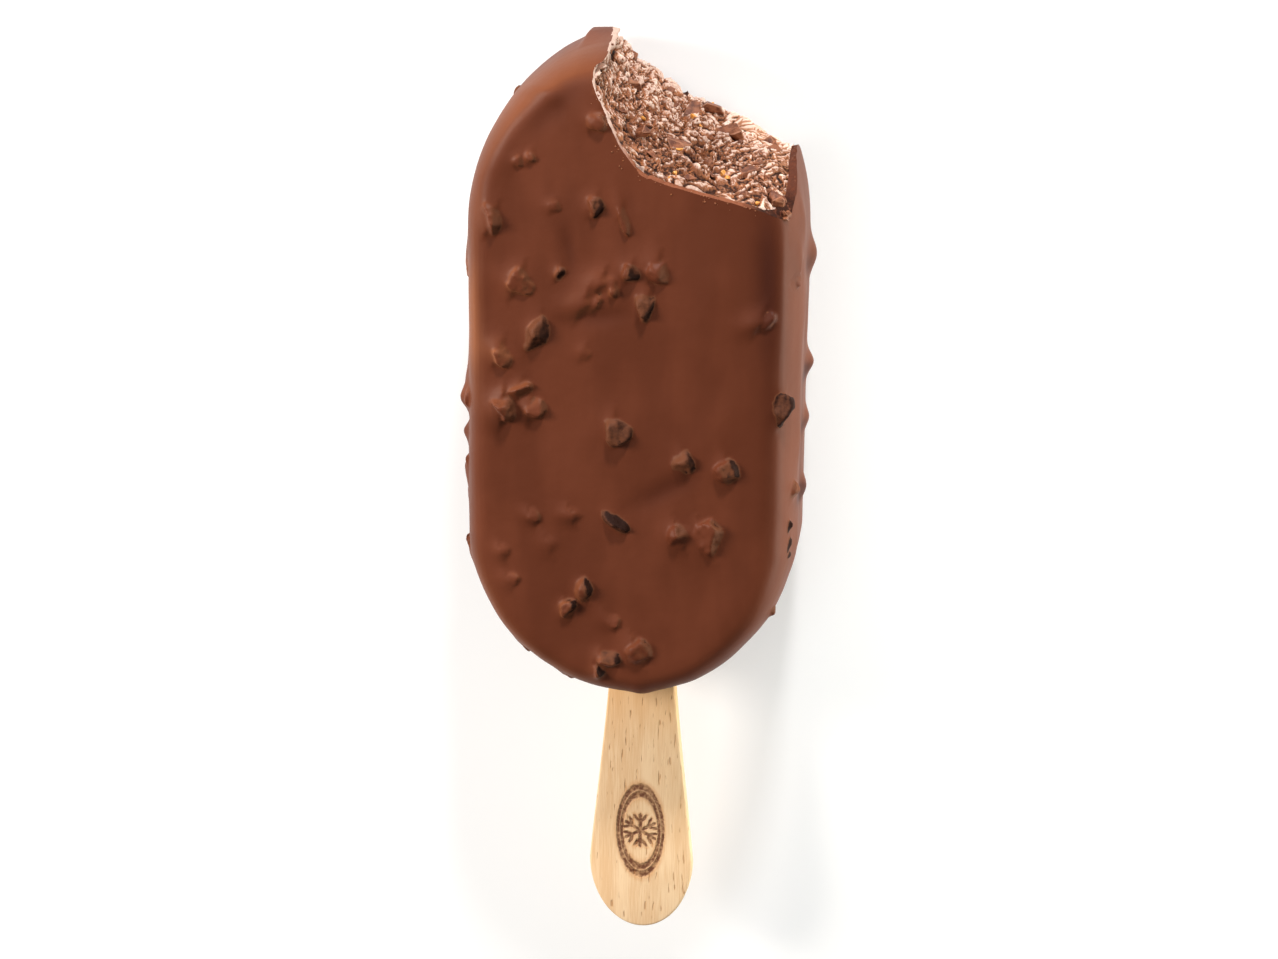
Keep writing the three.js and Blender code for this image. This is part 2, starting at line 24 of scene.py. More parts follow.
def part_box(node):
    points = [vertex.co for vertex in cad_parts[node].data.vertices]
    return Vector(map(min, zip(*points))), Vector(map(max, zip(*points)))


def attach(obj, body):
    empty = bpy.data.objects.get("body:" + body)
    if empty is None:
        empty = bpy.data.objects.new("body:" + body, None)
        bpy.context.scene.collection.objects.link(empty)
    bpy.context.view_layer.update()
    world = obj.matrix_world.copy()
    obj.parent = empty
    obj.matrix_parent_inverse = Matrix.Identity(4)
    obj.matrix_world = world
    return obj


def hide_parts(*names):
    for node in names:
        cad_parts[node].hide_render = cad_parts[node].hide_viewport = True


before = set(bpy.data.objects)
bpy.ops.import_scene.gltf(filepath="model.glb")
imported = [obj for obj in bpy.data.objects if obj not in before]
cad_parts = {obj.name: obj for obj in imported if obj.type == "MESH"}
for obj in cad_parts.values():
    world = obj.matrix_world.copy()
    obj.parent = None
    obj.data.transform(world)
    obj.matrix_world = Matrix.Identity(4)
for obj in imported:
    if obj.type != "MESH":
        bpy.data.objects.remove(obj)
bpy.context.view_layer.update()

LOG = logging.getLogger("ice_cream_bar")
MM = 0.001
GOLDEN_TURN = math.pi * (3 - math.sqrt(5))

Object = bpy.types.Object
Place = tuple[float, float, float]
Span = tuple[float, float]
Seats = list[tuple[int, Matrix]]  # which shape a copy is of, and where it goes
Relief = Callable[[np.ndarray, np.ndarray], np.ndarray]


# ---- The bench: Blender's operators, used as by hand ---------------------------------------------------


class Bench:
    """Selection, edit mode and modifiers."""

    @staticmethod
    def pick(*pieces: Object) -> None:
        """Selects only these pieces and makes the first one active.

        Args:
            pieces: The pieces.
        """
        bpy.ops.object.select_all(action="DESELECT")
        for piece in pieces:
            piece.select_set(True)
        bpy.context.view_layer.objects.active = pieces[0]

    @staticmethod
    def added(name: str) -> Object:
        """Names the piece that was just made, and returns it.

        Args:
            name: Its name.

        Returns:
            The piece.
        """
        piece = bpy.context.active_object
        piece.name = name
        piece.data.name = name
        return piece

    @staticmethod
    def primitive(add: Callable[..., set[str]], name: str, **settings: object) -> Object:
        """Adds a primitive with nothing else selected, and names it.

        Args:
            add: The operator that adds it.
            name: The new piece's name.
            settings: The operator's settings.

        Returns:
            The new piece.
        """
        bpy.ops.object.select_all(action="DESELECT")
        add(**settings)
        return Bench.added(name)

    @staticmethod
    @contextmanager
    def editing(piece: Object, chosen: np.ndarray | None = None) -> Iterator[None]:
        """Edit mode on a piece.

        Args:
            piece: The mesh to edit.
            chosen: For each vertex, whether it is selected. All are without it.
        """
        Bench.pick(piece)
        mesh = piece.data
        wanted = np.ones(len(mesh.vertices), bool) if chosen is None else chosen
        mesh.polygons.foreach_set("select", np.zeros(len(mesh.polygons), bool))
        mesh.edges.foreach_set("select", np.zeros(len(mesh.edges), bool))
        mesh.vertices.foreach_set("select", wanted)
        bpy.ops.object.mode_set(mode="EDIT")
        bpy.ops.mesh.select_mode(type="VERT")
        yield
        bpy.ops.object.mode_set(mode="OBJECT")

    @staticmethod
    def modify(piece: Object, kind: str, **settings: object) -> None:
        """Adds a modifier, sets it and applies it.

        Args:
            piece: The piece.
            kind: The modifier's type.
            settings: Its properties.
        """
        Bench.pick(piece)
        modifier = piece.modifiers.new(kind.title(), kind)
        for name, value in settings.items():
            setattr(modifier, name, value)
        bpy.ops.object.modifier_apply(modifier=modifier.name)

    @staticmethod
    def wear(piece: Object, width: float, rounds: int = 1, sharper_than: float = 0.4) -> None:
        """Bevels the edges that turn by more than an angle in radians, width millimetres wide."""
        settings = {"width": width * MM, "segments": rounds, "limit_method": "ANGLE"}
        Bench.modify(piece, "BEVEL", **settings, angle_limit=sharper_than)

    @staticmethod
    def cut(piece: Object, tool: Object, keep_tool: bool = False) -> None:
        """Takes the tool's solid away from the piece.

        Args:
            piece: The solid that is cut.
            tool: The solid that cuts it.
            keep_tool: Whether the tool is used again, and so isn't removed.
        """
        Bench.modify(piece, "BOOLEAN", operation="DIFFERENCE", solver="MANIFOLD", object=tool)
        if not keep_tool:
            Bench.remove(tool)

    @staticmethod
    def linked(name: str, data: bpy.types.ID) -> Object:
        """Puts a mesh, a light or a camera in the scene.

        Args:
            name: Its name.
            data: What it shows.

        Returns:
            The new object.
        """
        piece = bpy.data.objects.new(name, data)
        bpy.context.scene.collection.objects.link(piece)
        return piece

    @staticmethod
    def face_outward() -> None:
        """Turns every face of the mesh that is being edited outward."""
        bpy.ops.mesh.select_all(action="SELECT")
        bpy.ops.mesh.normals_make_consistent(inside=False)

    @staticmethod
    def remove(piece: Object) -> None:
        """Deletes a piece and its mesh.

        Args:
            piece: The piece.
        """
        mesh = piece.data
        bpy.data.objects.remove(piece)
        bpy.data.meshes.remove(mesh)

    @staticmethod
    def join(name: str, pieces: list[Object]) -> Object:
        """Joins pieces into the first one and names it.

        Args:
            name: The joined piece's name.
            pieces: The pieces.

        Returns:
            The joined piece.
        """
        Bench.pick(*pieces)
        bpy.ops.object.join()
        return Bench.added(name)

    @staticmethod
    def fuse(piece: Object, voxel: float) -> None:
        """Melts a piece's overlapping solids into one skin of even faces, voxel millimetres apart."""
        Bench.modify(piece, "REMESH", mode="VOXEL", voxel_size=voxel * MM, adaptivity=0.0)

    @staticmethod
    def thin_out(piece: Object, most: int) -> None:
        """Takes triangles away where the surface is nearly flat, until at most this many are left.

        Args:
            piece: The piece.
            most: How many triangles it may have.
        """
        piece.data.calc_loop_triangles()
        share = most / len(piece.data.loop_triangles)
        if share < 1:
            Bench.modify(piece, "DECIMATE", ratio=share)

    @staticmethod
    def smooth_shading(piece: Object, angle: float = 180.0) -> None:
        """Shades a piece smooth, with edges sharper than angle degrees kept.

        Args:
            piece: The piece.
            angle: The angle, or 180 for no kept edges.
        """
        Bench.pick(piece)
        if angle >= 180.0:
            bpy.ops.object.shade_smooth()
        else:
            bpy.ops.object.shade_smooth_by_angle(angle=math.radians(angle))

    @staticmethod
    def finish(piece: Object, material: bpy.types.Material, node: str | None, slot: str) -> None:
        """Gives a piece its only material and its place in the part.

        Args:
            piece: The finished piece.
            material: What it is made of.
            node: The node that it stands for, or None where it is an extra.
            slot: Not used.
        """
        piece.data.materials.clear()
        piece.data.materials.append(material)
        piece.data.polygons.foreach_set("material_index", np.zeros(len(piece.data.polygons), int))
        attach(piece, "root")
        if node is not None:
            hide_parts(node)

    @staticmethod
    def rows(elements: bpy.types.bpy_prop_collection, kind: str) -> np.ndarray:
        """A vector of each of a mesh's elements, a row each.

        Args:
            elements: The vertices or polygons.
            kind: The vector's name.

        Returns:
            The vectors.
        """
        found = np.zeros(len(elements) * 3, np.float32)
        elements.foreach_get(kind, found)
        return found.reshape(-1, 3)

    @staticmethod
    def points(piece: Object) -> np.ndarray:
        """A mesh's vertices in millimetres, a row each."""
        return Bench.rows(piece.data.vertices, "co").astype(float) / MM

    @staticmethod
    def normals(piece: Object) -> np.ndarray:
        """A mesh's vertex normals, a row each."""
        return Bench.rows(piece.data.vertices, "normal").astype(float)

    @staticmethod
    def set_points(piece: Object, points: np.ndarray) -> None:
        """Moves a mesh's vertices to these places, in millimetres."""
        piece.data.vertices.foreach_set("co", (points * MM).astype(np.float32).ravel())
        piece.data.update()

    @staticmethod
    def paint(piece: Object, name: str, values: np.ndarray, domain: str = "POINT") -> None:
        """Stores a number for each vertex, or for each FACE, for the piece's material to read."""
        layer = piece.data.attributes.new(name, "FLOAT", domain)
        layer.data.foreach_set("value", values.astype(np.float32))

    @staticmethod
    def hollows(piece: Object, rounds: int) -> np.ndarray:
        """How tightly the surface is hollowed at each vertex.

        Args:
            piece: The mesh.
            rounds: How many times the numbers are evened out between neighbours.

        Returns:
            One over the hollow's radius in millimetres, below 0 on a crest.
        """
        points, out = Bench.points(piece), Bench.normals(piece)
        ends = np.zeros(len(piece.data.edges) * 2, np.int32)
        piece.data.edges.foreach_get("vertices", ends)
        one, other = ends[0::2], ends[1::2]
        step = points[other] - points[one]

        def gather(for_one: np.ndarray, for_other: np.ndarray) -> np.ndarray:
            """Adds the numbers of each edge up at its ends."""
            size = len(points)
            return np.bincount(one, for_one, size) + np.bincount(other, for_other, size)

        square = gather((step**2).sum(axis=1), (step**2).sum(axis=1))
        rise = gather((step * out[one]).sum(axis=1), -(step * out[other]).sum(axis=1))
        found = 2 * rise / square
        count = gather(np.ones(len(one)), np.ones(len(one)))
        for _ in range(rounds):
            found = 0.5 * found + 0.5 * gather(found[other], found[one]) / count
        return found

    @staticmethod
    def distance_to(piece: Object, tree: BVHTree, reach: float) -> np.ndarray:
        """For each vertex, the distance to a surface, in millimetres, or reach where it is further.

        Args:
            piece: The mesh.
            tree: The surface.
            reach: How far it looks, in millimetres.

        Returns:
            The distances.
        """
        found = np.full(len(piece.data.vertices), reach)
        for i, vertex in enumerate(piece.data.vertices):
            gap = tree.find_nearest(vertex.co, reach * MM)[3]
            if gap is not None:
                found[i] = gap / MM
        return found

    @staticmethod
    def copies(name: str, shapes: list[Object], places: Seats, worn: float = 0.0) -> Object:
        """Many copies of a few shapes, joined as one mesh.

        Args:
            name: The new piece's name.
            shapes: The shapes that are copied.
            places: For each copy, which shape it is, and its place in millimetres.
            worn: Faces smaller than this, in square millimetres, are marked as worn edges.

        Returns:
            The new piece.
        """
        points = [Bench.points(shape) for shape in shapes]
        faces, small = [], []
        for shape in shapes:
            shape.data.calc_loop_triangles()
            triangles, polygons = shape.data.loop_triangles, shape.data.polygons
            faces.append(np.array([tri.vertices for tri in triangles], int))
            small.append(np.array([polygons[tri.polygon_index].area < worn * MM**2 for tri in triangles]))
        all_points, all_faces, start = [], [], 0
        for which, matrix in places:
            turned = np.array(matrix)
            all_points.append(points[which] @ turned[:3, :3].T + turned[:3, 3])
            all_faces.append(faces[which] + start)
            start += len(points[which])
        mesh = bpy.data.meshes.new(name)
        mesh.from_pydata((np.vstack(all_points) * MM).tolist(), [], np.vstack(all_faces).tolist())
        piece = Bench.linked(name, mesh)
        if worn:
            Bench.paint(piece, "worn", np.concatenate([small[which] for which, _ in places]), "FACE")
        return piece


def fade(value: np.ndarray, start: float, width: float) -> np.ndarray:
    """A share that goes from 0 at start to 1 at start + width, and is held beyond them."""
    return np.clip((value - start) / width, 0, 1)


def hump(value: np.ndarray, middle: float, width: float) -> np.ndarray:
    """A bell-shaped share, 1 in the middle."""
    return np.exp(-(((value - middle) / width) ** 2))


def turned(degrees: float, axis: str | Vector) -> Matrix:
    """A turn about an axis."""
    return Matrix.Rotation(math.radians(degrees), 4, axis)


def lying(along: Vector, out: Vector) -> Matrix:
    """The turn of a thing that lies along one direction with its top facing another."""
    return Matrix((along, out.cross(along), out)).transposed().to_4x4()


class Grain:
    """Repeatable noise over a plane, worked out for many points at once."""

    def __init__(self, seed: int) -> None:
        """Keeps the seed that tells one grain from another."""
        self.seed = seed

    def lattice(self, i: np.ndarray, j: np.ndarray, layer: int = 0) -> np.ndarray:
        """A fixed number from 0 to 1 for each whole-numbered point.

        Args:
            i: Whole numbers across.
            j: Whole numbers up.
            layer: Tells several numbers of one point apart.

        Returns:
            The numbers.
        """
        mixed = (i.astype(np.int64) * 374761393 + j.astype(np.int64) * 668265263) & 0xFFFFFFFF
        mixed = (mixed + (self.seed * 69069 + layer * 362437) * 2654435761) & 0xFFFFFFFF
        mixed = ((mixed ^ (mixed >> 13)) * 1274126177) & 0xFFFFFFFF
        mixed = ((mixed ^ (mixed >> 15)) * 2246822519) & 0xFFFFFFFF
        return ((mixed ^ (mixed >> 16)) & 0xFFFFFF) / float(0xFFFFFF)

    def waves(self, x: np.ndarray, y: np.ndarray) -> np.ndarray:
        """Smooth noise from -1 to 1, with cells of side 1.

        Args:
            x: Places across.
            y: Places up.

        Returns:
            The noise.
        """
        i, j = np.floor(x), np.floor(y)
        fx, fy = x - i, y - j
        fx, fy = fx * fx * (3 - 2 * fx), fy * fy * (3 - 2 * fy)
        low = self.lattice(i, j) * (1 - fx) + self.lattice(i + 1, j) * fx
        high = self.lattice(i, j + 1) * (1 - fx) + self.lattice(i + 1, j + 1) * fx
        return 2 * (low * (1 - fy) + high * fy) - 1

    def layers(self, x: np.ndarray, y: np.ndarray, count: int = 3) -> np.ndarray:
        """Waves on waves, each layer half as wide and half as high as the one before.

        Args:
            x: Places across.
            y: Places up.
            count: How many layers.

        Returns:
            The noise, from -1 to 1.
        """
        total = np.zeros_like(x)
        for k in range(count):
            total += self.waves(x * 2**k + 17.3 * k, y * 2**k - 9.1 * k) / 2**k
            x, y = 0.8 * x - 0.6 * y, 0.6 * x + 0.8 * y
        return total / (2 - 0.5 ** (count - 1))

    def billows(self, x: np.ndarray, y: np.ndarray, count: int = 3, fall: float = 0.55) -> np.ndarray:
        """Round swellings with sharp creases between them, in layers, from about -1 in a crease to 1.

        Args:
            x: Places across.
            y: Places up.
            count: How many layers.
            fall: Each layer's height, as a share of the last one's.

        Returns:
            The noise.
        """
        total, weight = np.zeros_like(x), 1.0
        for k in range(count):
            total += (3.2 * np.abs(self.waves(x + 17.3 * k, y - 9.1 * k)) - 1) * weight
            x, y = 1.9 * (0.8 * x - 0.6 * y), 1.9 * (0.6 * x + 0.8 * y)
            weight *= fall
        return total / sum(fall**k for k in range(count))

    def nearest_cell(self, x: np.ndarray, y: np.ndarray) -> tuple[np.ndarray, ...]:
        """Finds the nearest of cells that are scattered one to a square of side 1.

        Args:
            x: Places across.
            y: Places up.

        Returns:
            The square that the nearest cell's middle is in, as two numbers, the distance to it, and the
            distance to the next one.
        """
        i, j = np.floor(x), np.floor(y)
        near_i, near_j = i, j
        nearest, second = np.full(x.shape, 9.0), np.full(x.shape, 9.0)
        for di in (-1, 0, 1):
            for dj in (-1, 0, 1):
                ci, cj = i + di, j + dj
                gap = np.hypot(x - ci - self.lattice(ci, cj, 1), y - cj - self.lattice(ci, cj, 2))
                closer = gap < nearest
                second = np.where(closer, nearest, np.minimum(second, gap))
                near_i, near_j = np.where(closer, ci, near_i), np.where(closer, cj, near_j)
                nearest = np.where(closer, gap, nearest)
        return near_i, near_j, nearest, second

    def cells(self, x: np.ndarray, y: np.ndarray) -> tuple[np.ndarray, ...]:
        """Crumbs of side 1.

        Args:
            x: Places across.
            y: Places up.

        Returns:
            The distance to the nearest crumb's middle, how much further the next one is, and the nearest
            crumb's own number from 0 to 1.
        """
        i, j, nearest, second = self.nearest_cell(x, y)
        return nearest, second - nearest, self.lattice(i, j, 3)

    def facets(self, x: np.ndarray, y: np.ndarray) -> np.ndarray:
        """Broken faces of side 1, each with its own height and slope, from about -1 to 1.

        Args:
            x: Places across.
            y: Places up.

        Returns:
            The heights.
        """
        i, j = self.nearest_cell(x, y)[:2]
        across, up = x - i - self.lattice(i, j, 1), y - j - self.lattice(i, j, 2)
        slopes = across * (self.lattice(i, j, 4) - 0.5) + up * (self.lattice(i, j, 5) - 0.5)
        return 1.2 * self.lattice(i, j, 3) - 0.6 + 1.6 * slopes


# ---- Shader recipes ------------------------------------------------------------------------------------


class Wire:
    """A shader socket that arithmetic works on."""

    def __init__(self, recipe: Recipe, socket: bpy.types.NodeSocket) -> None:
        """Keeps the socket and the recipe that it belongs to."""
        self.recipe = recipe
        self.socket = socket

    def maths(self, operation: str, first: Wire | float, second: Wire | float = 0.0) -> Wire:
        """One Math node."""
        return self.recipe.node("ShaderNodeMath", {"operation": operation}, {0: first, 1: second})

    def __add__(self, other: Wire | float) -> Wire:
        """Sum."""
        return self.maths("ADD", self, other)

    __radd__ = __add__

    def __mul__(self, other: Wire | float) -> Wire:
        """Product."""
        return self.maths("MULTIPLY", self, other)

    __rmul__ = __mul__

    def __sub__(self, other: Wire | float) -> Wire:
        """Difference."""
        return self.maths("SUBTRACT", self, other)

    def __rsub__(self, other: Wire | float) -> Wire:
        """Difference, the other way round."""
        return self.maths("SUBTRACT", other, self)

    def __truediv__(self, other: Wire | float) -> Wire:
        """Quotient."""
        return self.maths("DIVIDE", self, other)

    def __pow__(self, other: Wire | float) -> Wire:
        """Power."""
        return self.maths("POWER", self, other)

    def absolute(self) -> Wire:
        """The value without its sign."""
        return self.maths("ABSOLUTE", self)

    def least(self, other: Wire | float) -> Wire:
        """The smaller of two values."""
        return self.maths("MINIMUM", self, other)

    def most(self, other: Wire | float) -> Wire:
        """The larger of two values."""
        return self.maths("MAXIMUM", self, other)

    def between(self, low: float, high: float) -> Wire:
        """0 below low, 1 above high, and smooth between; the other way round where low is the larger.

        Args:
            low: Where it starts to change.
            high: Where it ends.

        Returns:
            The share.
        """
        flipped = low > high
        ends = {1: high, 2: low, 3: 1.0, 4: 0.0} if flipped else {1: low, 2: high, 3: 0.0, 4: 1.0}
        settings = {"interpolation_type": "SMOOTHSTEP"}
        return self.recipe.node("ShaderNodeMapRange", settings, {0: self, **ends})


class Recipe:
    """One material's nodes."""

    def __init__(self, name: str) -> None:
        """Makes a material with an empty Principled shader.

        Args:
            name: The material's name.
        """
        self.material = bpy.data.materials.new(name)
        self.material.use_nodes = True
        self.tree = self.material.node_tree
        self.shader = self.tree.nodes["Principled BSDF"]

    def node(
        self,
        kind: str,
        settings: dict[str, object] | None = None,
        inputs: dict[int | str, object] | None = None,
        output: int | str = 0,
    ) -> Wire:
        """Adds a node.

        Args:
            kind: The node's type.
            settings: Its properties. The stops of a colour ramp are pairs of a place and a colour.
            inputs: A value or a wire for each socket.
            output: Which output the wire leaves from.

        Returns:
            The wire of that output.
        """
        made = self.tree.nodes.new(kind)
        for name, value in (settings or {}).items():
            if name == "stops":
                self.set_stops(made.color_ramp, value)
            else:
                setattr(made, name, value)
        for key, value in (inputs or {}).items():
            self.connect(made.inputs[key], value)
        return Wire(self, made.outputs[output])

    def connect(self, socket: bpy.types.NodeSocket, value: object) -> None:
        """Links a wire to a socket, or sets the socket's own value.

        Args:
            socket: The input.
            value: A wire or a plain value.
        """
        if isinstance(value, Wire):
            self.tree.links.new(value.socket, socket)
        else:
            socket.default_value = value

    @staticmethod
    def set_stops(ramp: bpy.types.ColorRamp, stops: list[tuple[float, tuple[float, ...]]]) -> None:
        """Sets a colour ramp's stops.

        Args:
            ramp: The ramp.
            stops: A place and a colour each.
        """
        while len(ramp.elements) < len(stops):
            ramp.elements.new(0.5)
        for element, (position, colour) in zip(ramp.elements, stops):
            element.position = position
            element.color = colour

    def coordinates(self, scale: Place = (1.0, 1.0, 1.0), shift: Place = (0.0, 0.0, 0.0)) -> Wire:
        """Object coordinates in millimetres, shifted and then scaled.

        Args:
            scale: What each axis is multiplied by.
            shift: The place that becomes the origin.

        Returns:
            The coordinates.
        """
        raw = self.node("ShaderNodeTexCoord", output="Object")
        size = tuple(s / MM for s in scale)
        origin = tuple(v * MM for v in shift)
        moved = self.node("ShaderNodeVectorMath", {"operation": "SUBTRACT"}, {0: raw, 1: origin})
        return self.node("ShaderNodeVectorMath", {"operation": "MULTIPLY"}, {0: moved, 1: size})

    def axes(self, vector: Wire) -> tuple[Wire, ...]:
        """The three numbers of a place, each on its own."""
        parts = self.node("ShaderNodeSeparateXYZ", None, {0: vector}).socket.node.outputs
        return tuple(Wire(self, part) for part in parts)

    def noise(self, vector: Wire, scale: float, detail: float = 2.0, roughness: float = 0.5) -> Wire:
        """Noise from 0 to 1 with scale cells a millimetre."""
        inputs = {"Vector": vector, "Scale": scale, "Detail": detail, "Roughness": roughness}
        return self.node("ShaderNodeTexNoise", None, inputs)

    def attribute(self, name: str) -> Wire:
        """A number that is stored on the mesh."""
        return self.node("ShaderNodeAttribute", {"attribute_name": name}, output="Fac")

    def mix(self, share: Wire | float, low: object, high: object) -> Wire:
        """A colour between two colours."""
        return self.node("ShaderNodeMix", {"data_type": "RGBA"}, {0: share, 6: low, 7: high}, output=2)

    def bump(self, height: Wire, depth: float, under: Wire | None = None) -> Wire:
        """A normal from a height from 0 to 1 that is depth millimetres high.

        Args:
            height: The height.
            depth: What 1 stands for.
            under: A normal that it is laid over.

        Returns:
            The normal.
        """
        inputs = {"Height": height, "Distance": depth * MM, "Strength": 1.0}
        if under is not None:
            inputs["Normal"] = under
        return self.node("ShaderNodeBump", None, inputs)

    def finish(self, **values: object) -> bpy.types.Material:
        """Sets the shader's sockets, underscores standing for the spaces of their names.

        Args:
            values: A value or a wire for each socket.

        Returns:
            The material.
        """
        for name, value in values.items():
            self.connect(self.shader.inputs[name.replace("_", " ")], value)
        return self.material


Colour = tuple[float, float, float, float]


def srgb(red: int, green: int, blue: int) -> Colour:
    """A colour as Blender's linear numbers, from the 0 to 255 that a screen shows.

    Args:
        red: Its red.
        green: Its green.
        blue: Its blue.

    Returns:
        The colour, with alpha 1.
    """

    def linear(value: int) -> float:
        """One channel."""
        share = value / 255
        return share / 12.92 if share <= 0.04045 else ((share + 0.055) / 1.055) ** 2.4

    return linear(red), linear(green), linear(blue), 1.0


@dataclass(frozen=True)
class MilkChocolate:
    """Coating chocolate: satin, slightly streaked, darker where chopped pieces show through, paler where it
    has broken, with painted shade on the pieces' lee sides, in creases, in dips and in the bite's corner,
    painted warm light on the left shoulder and at the broken tip, and a painted sheen on the right side.
    """

    body: Colour = srgb(99, 50, 31)
    streak: Colour = srgb(90, 44, 26)
    painted_trough_shade: Colour = srgb(66, 29, 17)
    nib: Colour = srgb(98, 56, 36)
    bare_and_shade: Colour = srgb(40, 18, 10)
    broken: Colour = srgb(214, 184, 170)
    painted_shoulder_light: Colour = srgb(140, 84, 52)
    painted_side_sheen: Colour = srgb(150, 112, 90)
    broken_front: Colour = srgb(138, 82, 57)
    broken_side: Colour = srgb(80, 42, 29)
    painted_cavity_shade: Colour = srgb(44, 22, 15)
    roughness: float = 0.48

    def material(self) -> bpy.types.Material:
        """The chocolate's nodes.

        Returns:
            The material.
        """
        recipe = Recipe("milk_chocolate")
        spot = recipe.coordinates()
        stretched = recipe.coordinates(scale=(1.0, 0.3, 1.0))
        streaks = recipe.noise(stretched, 0.16, 3.0)
        clouds = recipe.noise(spot, 0.07, 2.0)
        shade = recipe.mix((streaks * 0.6 + clouds * 0.4).between(0.4, 0.62), self.streak, self.body)
        # Painted warm light on the left shoulder.
        shade = recipe.mix(recipe.attribute("painted_shoulder_light") * 0.75, shade, self.painted_shoulder_light)
        # A painted sheen on the right side.
        shade = recipe.mix(recipe.attribute("painted_side_sheen") * 0.06, shade, self.painted_side_sheen)
        # Painted shade in the dips of the skin.
        shade = recipe.mix(recipe.attribute("painted_trough_shade"), shade, self.painted_trough_shade)
        # The tops of pieces that show through, and painted shade on their lee sides and in the creases round
        # them.
        bare_and_shade = recipe.attribute("bare_and_shade")
        fine = recipe.noise(spot, 2.6, 3.0)
        uneven = bare_and_shade * (0.8 + fine * 0.4)
        shade = recipe.mix(uneven.between(0.1, 0.4), shade, self.nib)
        shade = recipe.mix(uneven.between(0.45, 0.95), shade, self.bare_and_shade)
        broken = recipe.attribute("broken")
        crystals = recipe.noise(spot, 1.4, 4.0, 0.65)
        across, _, height = recipe.axes(spot)
        # The broken edge: paler at the tip, where it stands for painted light falling on the break, browner
        # at the front, darker at the right, and darkest in the corner's cavity as painted shade.
        dark = recipe.mix(height.between(20.5, 23.0), self.broken_side, self.painted_cavity_shade)
        light = recipe.mix(across.between(-4.0, 1.5), self.broken, self.broken_front)
        light = recipe.mix(across.between(16.0, 20.0), light, dark)
        mottled = crystals.between(0.45, 0.7) * (0.25 + across.between(-4.5, -2.0) * 0.35)
        paler = recipe.mix(mottled, light, self.body)
        shade = recipe.mix(broken * 0.9, shade, paler)
        pits = recipe.noise(spot, 3.2, 4.0, 0.6)
        waves = recipe.noise(spot, 0.35, 2.0)
        skin = recipe.bump(waves, 0.07)
        rough = (bare_and_shade * 0.7 + broken).least(1.0)
        grainy = recipe.bump(pits * (0.05 + rough * 0.95), 0.12, under=skin)
        roughness = self.roughness + rough * 0.3 + (pits - 0.5) * 0.08
        return recipe.finish(Base_Color=shade, Roughness=roughness, Normal=grainy, Specular_IOR_Level=0.12)


@dataclass(frozen=True)
class IceCream:
    """Chocolate ice cream, torn: pale and wet, with painted shade in its hollows, painted highlights on its
    crests, painted light towards its outer part, and dust of chocolate.
    """

    pale: Colour = srgb(248, 220, 204)
    light: Colour = srgb(182, 122, 86)
    body: Colour = srgb(142, 86, 55)
    amber: Colour = srgb(190, 116, 66)
    deep: Colour = srgb(46, 18, 9)

    def material(self, name: str = "chocolate_ice_cream") -> bpy.types.Material:
        """The ice cream's nodes.

        Args:
            name: The material's name.

        Returns:
            The material.
        """
        recipe = Recipe(name)
        spot = recipe.coordinates()
        clumps = recipe.noise(spot, 0.55, 4.0, 0.6)
        grains = recipe.noise(spot, 2.2, 3.0, 0.6)
        across, up, height = recipe.axes(spot)
        # Painted light towards the bite's outer part, to the right and at the back.
        painted_light_outer = (across + (up - height) * 0.5).between(21.0, 33.0)
        shade = recipe.mix((clumps * 0.7 + painted_light_outer * 0.5).between(0.4, 0.85), self.body, self.light)
        shade = recipe.mix(grains.between(0.5, 0.68) * 0.3, shade, self.deep)
        hollow = recipe.attribute("hollow")
        patches = recipe.noise(spot, 0.5, 3.0, 0.6).between(0.38, 0.62)
        warmer = recipe.noise(spot, 0.9, 2.0).between(0.52, 0.66)
        shade = recipe.mix(warmer * 0.45, shade, self.amber)
        paler = 0.5 + patches * 0.3 + painted_light_outer * 0.2
        # Painted highlight on the crests, and painted shade in the hollows.
        shade = recipe.mix(hollow.between(-0.5, -2.2) * paler, shade, self.pale)
        shade = recipe.mix(hollow.between(-0.3, 0.9) * (1.0 - patches * 0.15), shade, self.deep)
        pits = recipe.noise(spot, 3.4, 3.0, 0.65)
        wet = recipe.noise(spot, 1.1, 2.0)
        return recipe.finish(
            Base_Color=shade,
            Roughness=0.28 + wet.between(0.35, 0.65) * 0.35,
            Normal=recipe.bump(pits, 0.2),
            Subsurface_Weight=0.05,
            Subsurface_Radius=(1.0, 0.5, 0.3),
            Subsurface_Scale=0.0007,
            Specular_IOR_Level=0.24,
        )


@dataclass(frozen=True)
class Speck:
    """A plain bit in the ice cream, with a little mottling and pale worn edges."""

    name: str
    dark: Colour
    light: Colour
    edge: Colour
    roughness: float = 0.45

    def material(self) -> bpy.types.Material:
        """The bit's nodes.

        Returns:
            The material.
        """
        recipe = Recipe(self.name)
        spot = recipe.coordinates()
        patches = recipe.noise(spot, 0.9, 3.0, 0.6)
        pits = recipe.noise(spot, 5.0, 2.0)
        shade = recipe.mix(patches.between(0.35, 0.65), self.dark, self.light)
        return recipe.finish(
            Base_Color=recipe.mix(recipe.attribute("worn") * 0.35, shade, self.edge),
            Roughness=self.roughness + (pits - 0.5) * 0.2,
            Normal=recipe.bump(pits, 0.08),
            Specular_IOR_Level=0.25,
        )


